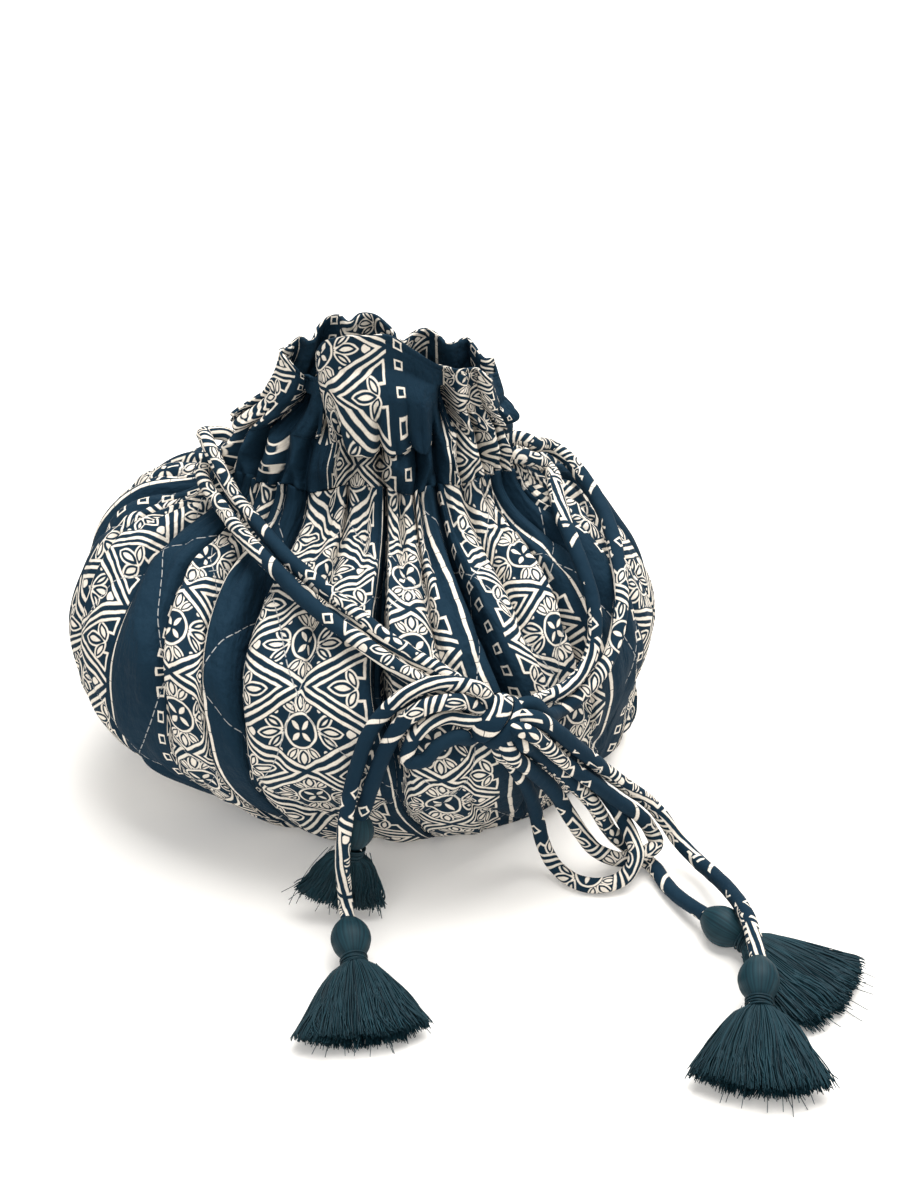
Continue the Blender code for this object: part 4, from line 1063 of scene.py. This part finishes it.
def jaal(tree, x, y):
    """The lattice band: rhombi of double lines with a rosette in each, and leaves at the edges."""
    place = combine(tree, x, y)
    cross = (x / BAND_HALF + y / RHOMB_HALF - 1.0) * RHOMB_SIDE
    r = vector_math(tree, "LENGTH", [place], 1)
    rose = r.line(6.6, 0.45).max(leaf(tree, place, (2.25, 2.25), 45, 2.3, 1.0).below(0.0))
    middle = leaf(tree, place, (0.0, 10.9), 90, 4.1, 2.5)
    beside = leaf(tree, place, (4.3, 9.2), 46, 3.9, 1.9)
    lotus = petal(middle, 0.68, 0.8).max(petal(beside, 0.62, 0.6) * middle.above(0.0))
    point = leaf(tree, place, (12.6, 0.0), 0, 5.2, 2.6)
    flank = leaf(tree, place, (10.9, 4.0), 44, 4.9, 2.1)
    crown = petal(point.min(flank), 0.7, 0.95)
    rose = rose.max(lotus.max(crown) * r.above(7.4))
    for centre, radius in (((9.4, 8.0, 0.0), 0.75), ((20.4, 0.0, 0.0), 1.75)):
        rose = rose.max(vector_math(tree, "DISTANCE", [place, centre], 1).below(radius))
    rose = rose * cross.below(-2.9)
    lines = abs(cross).line(1.62, 0.66)
    # the triangles at the edges, measured from the middle of the band's edge
    ex, ey = (x * -1.0) + BAND_HALF, (y * -1.0) + RHOMB_HALF
    edge = combine(tree, ex, ey)
    inset = cross.line(4.2, 0.52) * ex.above(1.4)
    leaf_in = leaf(tree, edge, (9.9, 0.0), 0, 5.7, 2.9)
    leaf_by = leaf(tree, edge, (6.2, 3.6), 62, 4.3, 2.3)
    lotus = leaf_in.min(leaf_by).line(-0.36, 0.36).max(leaf_in.below(-1.85)).max(leaf_by.below(-1.5))
    bracket = (ex.line(1.6, 0.52) * ey.above(4.2)).max(ey.line(4.2, 0.5) * ex.below(4.7) * ex.above(1.1))
    corner = inset.max(lotus * cross.above(4.9)).max(bracket * cross.above(4.0))
    return lines.max(rose).max(corner * cross.above(3.0))


def block_print(tree, u, v):
    """The printed cream on navy cloth, u across the bands and v along them, in millimetres."""
    raw = combine(tree, u, v)
    shake_u, shake_v = split(tree, noise(tree, raw, 0.16, 2.0, 1))
    u = u + (shake_u - 0.5) * 1.1
    v = v + (shake_v - 0.5) * 1.1
    p = u.cycle(PRINT_PERIOD)
    x = abs(p - BAND_HALF)
    band = jaal(tree, x, v.fold(RHOMB_HALF)) * x.below(BAND_HALF)
    stripe = p.line(62.0, 0.9) * v.cycle(8.3).above(0.25)
    squares = abs(p - 89.5).max(abs(v.cycle(9.4) - 4.7)).line(1.75, 0.42, 0.1)
    speck = noise(tree, raw, 1.9, 3.0).ramp(3.2, -0.72)
    return band.max(stripe).max(squares) * speck.ramp(0.25, 0.77)


def stitches(tree, u, v):
    """Pale running stitches along the quilting lines, and the dent that they pull."""
    both, dent = None, None
    for sign in (1.0, -1.0):
        wave = (v / STITCH_WAVE_LENGTH * (2 * np.pi) + 0.8 * sign).op("SINE") * STITCH_WAVE
        w = u + v * (sign * STITCH_SLOPE) + wave
        d = abs((w / STITCH_STEP).op("FRACT") - 0.5) * (STITCH_STEP / STITCH_ACROSS)
        dash = (v * (1.232 / 4.7) + 0.31 * sign).op("FRACT").line(0.4, 0.37, 0.05)
        thread = d.below(0.19, 0.08) * dash
        pull = (d / 1.6).ramp(-1.0, 1.0)
        both = thread if both is None else both.max(thread)
        dent = pull if dent is None else dent.max(pull)
    return both, dent


def cloth_material(name, quilted=False, turn=0.0, creases=1.0):
    """Block-printed cotton. turn slants the print in degrees, creases scales the soft creases."""
    mat, tree, shader = new_material(name, 0.82, 0.09)
    flat = mapping(tree, node_of(tree, "ShaderNodeTexCoord", {}, [], 2),
                   Rotation=(0.0, 0.0, np.radians(turn)), Scale=(1000.0, 1000.0, 1000.0))
    u, v = split(tree, flat)
    slub = noise(tree, mapping(tree, flat, Scale=(0.6, 3.4, 1.0)), 1.0, 2.0)
    navy = mix(tree, noise(tree, flat, 0.035, 3.0), NAVY, NAVY_WORN)
    colour = mix(tree, block_print(tree, u, v), navy, mix(tree, slub, CREAM_SHADE, CREAM))
    height = noise(tree, mapping(tree, flat, Scale=(0.30, 0.10, 1.0)), 1.0, 4.0) * (1.5 * creases)
    height = height + slub * 0.07 + noise(tree, flat, 0.11, 3.0) * (2.2 * creases)
    if quilted:
        thread, dent = stitches(tree, u, v)
        colour = mix(tree, thread, colour, STITCH_COLOUR)
        pucker = noise(tree, flat, 0.34, 2.0) * dent
        height = height - dent * 0.55 + pucker * 0.7 + thread * 0.22
    bump = node_of(tree, "ShaderNodeBump", {}, {"Strength": 0.9, "Distance": 0.001, "Height": height})
    tree.links.new(colour.socket, shader.inputs["Base Color"])
    tree.links.new(bump.socket, shader.inputs["Normal"])
    return mat


def thread_material(name, dark, light, strand):
    """Cotton embroidery thread, with every strand a little lighter or darker."""
    mat, tree, shader = new_material(name, 0.6, 0.22)
    long = mapping(tree, node_of(tree, "ShaderNodeTexCoord", {}, [], 2), Scale=strand)
    colour = mix(tree, noise(tree, long, 1.0, 2.0).ramp(2.4, -0.7), dark, light)
    tree.links.new(colour.socket, shader.inputs["Base Color"])
    return mat


def floor_material():
    """Pale paper, a little warmer to the right, with a faint even glow of painted light that keeps it white and
    its shadows light.
    """
    mat, tree, shader = new_material("paper_backdrop", 0.95, 0.0)
    x, _ = split(tree, node_of(tree, "ShaderNodeTexCoord", {}, [], 3))
    colour = mix(tree, (x * 0.9).ramp(1.0, 0.15), (0.87, 0.865, 0.85), (0.88, 0.845, 0.80))
    tree.links.new(colour.socket, shader.inputs["Base Color"])
    # painted light: a faint glow, though the paper is no lamp, that lifts its shadows and lights the bag from
    # below
    shader.inputs["Emission Color"].default_value = (1.0, 0.985, 0.96, 1.0)
    shader.inputs["Emission Strength"].default_value = 0.14
    return mat


# ---- stage, in metres ----
LIGHT_TARGET = (0, 0, 0.05)
CAMERA_AT, CAMERA_TARGET = (0.013, -0.667, 0.5137), (0.013, 0.004, 0.078)


def backdrop():
    """A sheet of paper that runs flat under the bag and curves up far behind it."""
    a = np.linspace(0, np.pi / 2, 16)
    y = np.concatenate([[-1.6], 1.2 + 0.8 * np.sin(a), [2.0]])
    z = np.concatenate([[0.0], 0.8 - 0.8 * np.cos(a), [2.6]])
    x = np.array([-2.6, 2.6])
    points = np.stack([np.broadcast_to(x, (len(y), 2)), np.repeat(y[:, None], 2, 1),
                       np.repeat(z[:, None], 2, 1)], -1)
    ids = np.arange(len(y) * 2).reshape(-1, 2)
    quads = np.stack([ids[:-1, 0], ids[:-1, 1], ids[1:, 1], ids[1:, 0]], -1)
    obj = add_object("backdrop", new_mesh("backdrop", points.reshape(-1, 3), quads, floor_material()))
    obj.location.z = -0.0002
    return obj


def aim(obj, target):
    way = Vector(target) - Vector(obj.location)
    obj.rotation_euler = way.to_track_quat("-Z", "Y").to_euler()


def area_light(name, place, size, power, colour):
    data = bpy.data.lights.new(name, "AREA")
    data.shape = "RECTANGLE"
    data.size, data.size_y = size
    data.energy = power
    data.color = colour
    obj = add_object(name, data)
    obj.location = place
    aim(obj, LIGHT_TARGET)
    return obj


def camera():
    data = bpy.data.cameras.new("photo_camera")
    data.sensor_fit = "HORIZONTAL"
    data.sensor_width = 36.0
    data.lens = 72.6
    obj = add_object("photo_camera", data)
    obj.location = CAMERA_AT
    aim(obj, CAMERA_TARGET)
    bpy.context.scene.camera = obj
    return obj


def world():
    env = bpy.data.worlds.new("studio")
    env.use_nodes = True
    back = env.node_tree.nodes["Background"]
    back.inputs["Color"].default_value = (1.0, 0.985, 0.965, 1.0)
    back.inputs["Strength"].default_value = 0.52
    bpy.context.scene.world = env


def declare_cords(pieces, tassels):
    for name, (obj, centre, length) in pieces.items():
        key = name.replace("tail_", "")
        tied = key in tassels
        (centre[0] * MM).tolist()
        round(length * MM, 4)
        (centre * MM).tolist()


def main():
    bpy.context.scene.view_settings.view_transform = "Standard"
    print_cloth = cloth_material("quilted_block_print", quilted=True)
    strip_cloth = cloth_material("plain_block_print", creases=1.2)
    base_cloth = cloth_material("base_block_print", quilted=True)
    cord_cloth = cloth_material("cord_block_print", turn=38.0, creases=0.35)
    thread = thread_material("tassel_cotton", (0.0018, 0.0125, 0.020), (0.0075, 0.043, 0.060),
                             (14.0, 900.0, 1.0))
    binding = thread_material("binding_cotton", (0.002, 0.014, 0.022), (0.006, 0.034, 0.048),
                              (500.0, 500.0, 1.0))
    body = body_piece(print_cloth)
    casing = casing_piece(strip_cloth)
    frill = frill_piece(strip_cloth)
    base_piece(base_cloth)
    knot_piece(cord_cloth)
    cords = {name: cord_piece(name, i, cord_cloth) for i, name in enumerate(CORDS)}
    tassels = {key: tassel_pieces(key, i, thread, binding) for i, key in enumerate(TASSELS)}
    declare_cords(cords, tassels)
    stage = [backdrop(), camera()]
    stage.append(area_light("window", (0.30, 0.34, 1.6), (1.5, 1.5), 50.0, (1.0, 0.98, 0.95)))
    stage.append(area_light("front_fill", (-0.3, -1.5, 1.4), (1.4, 1.0), 9.0, (1.0, 0.99, 0.98)))
    world()


main()
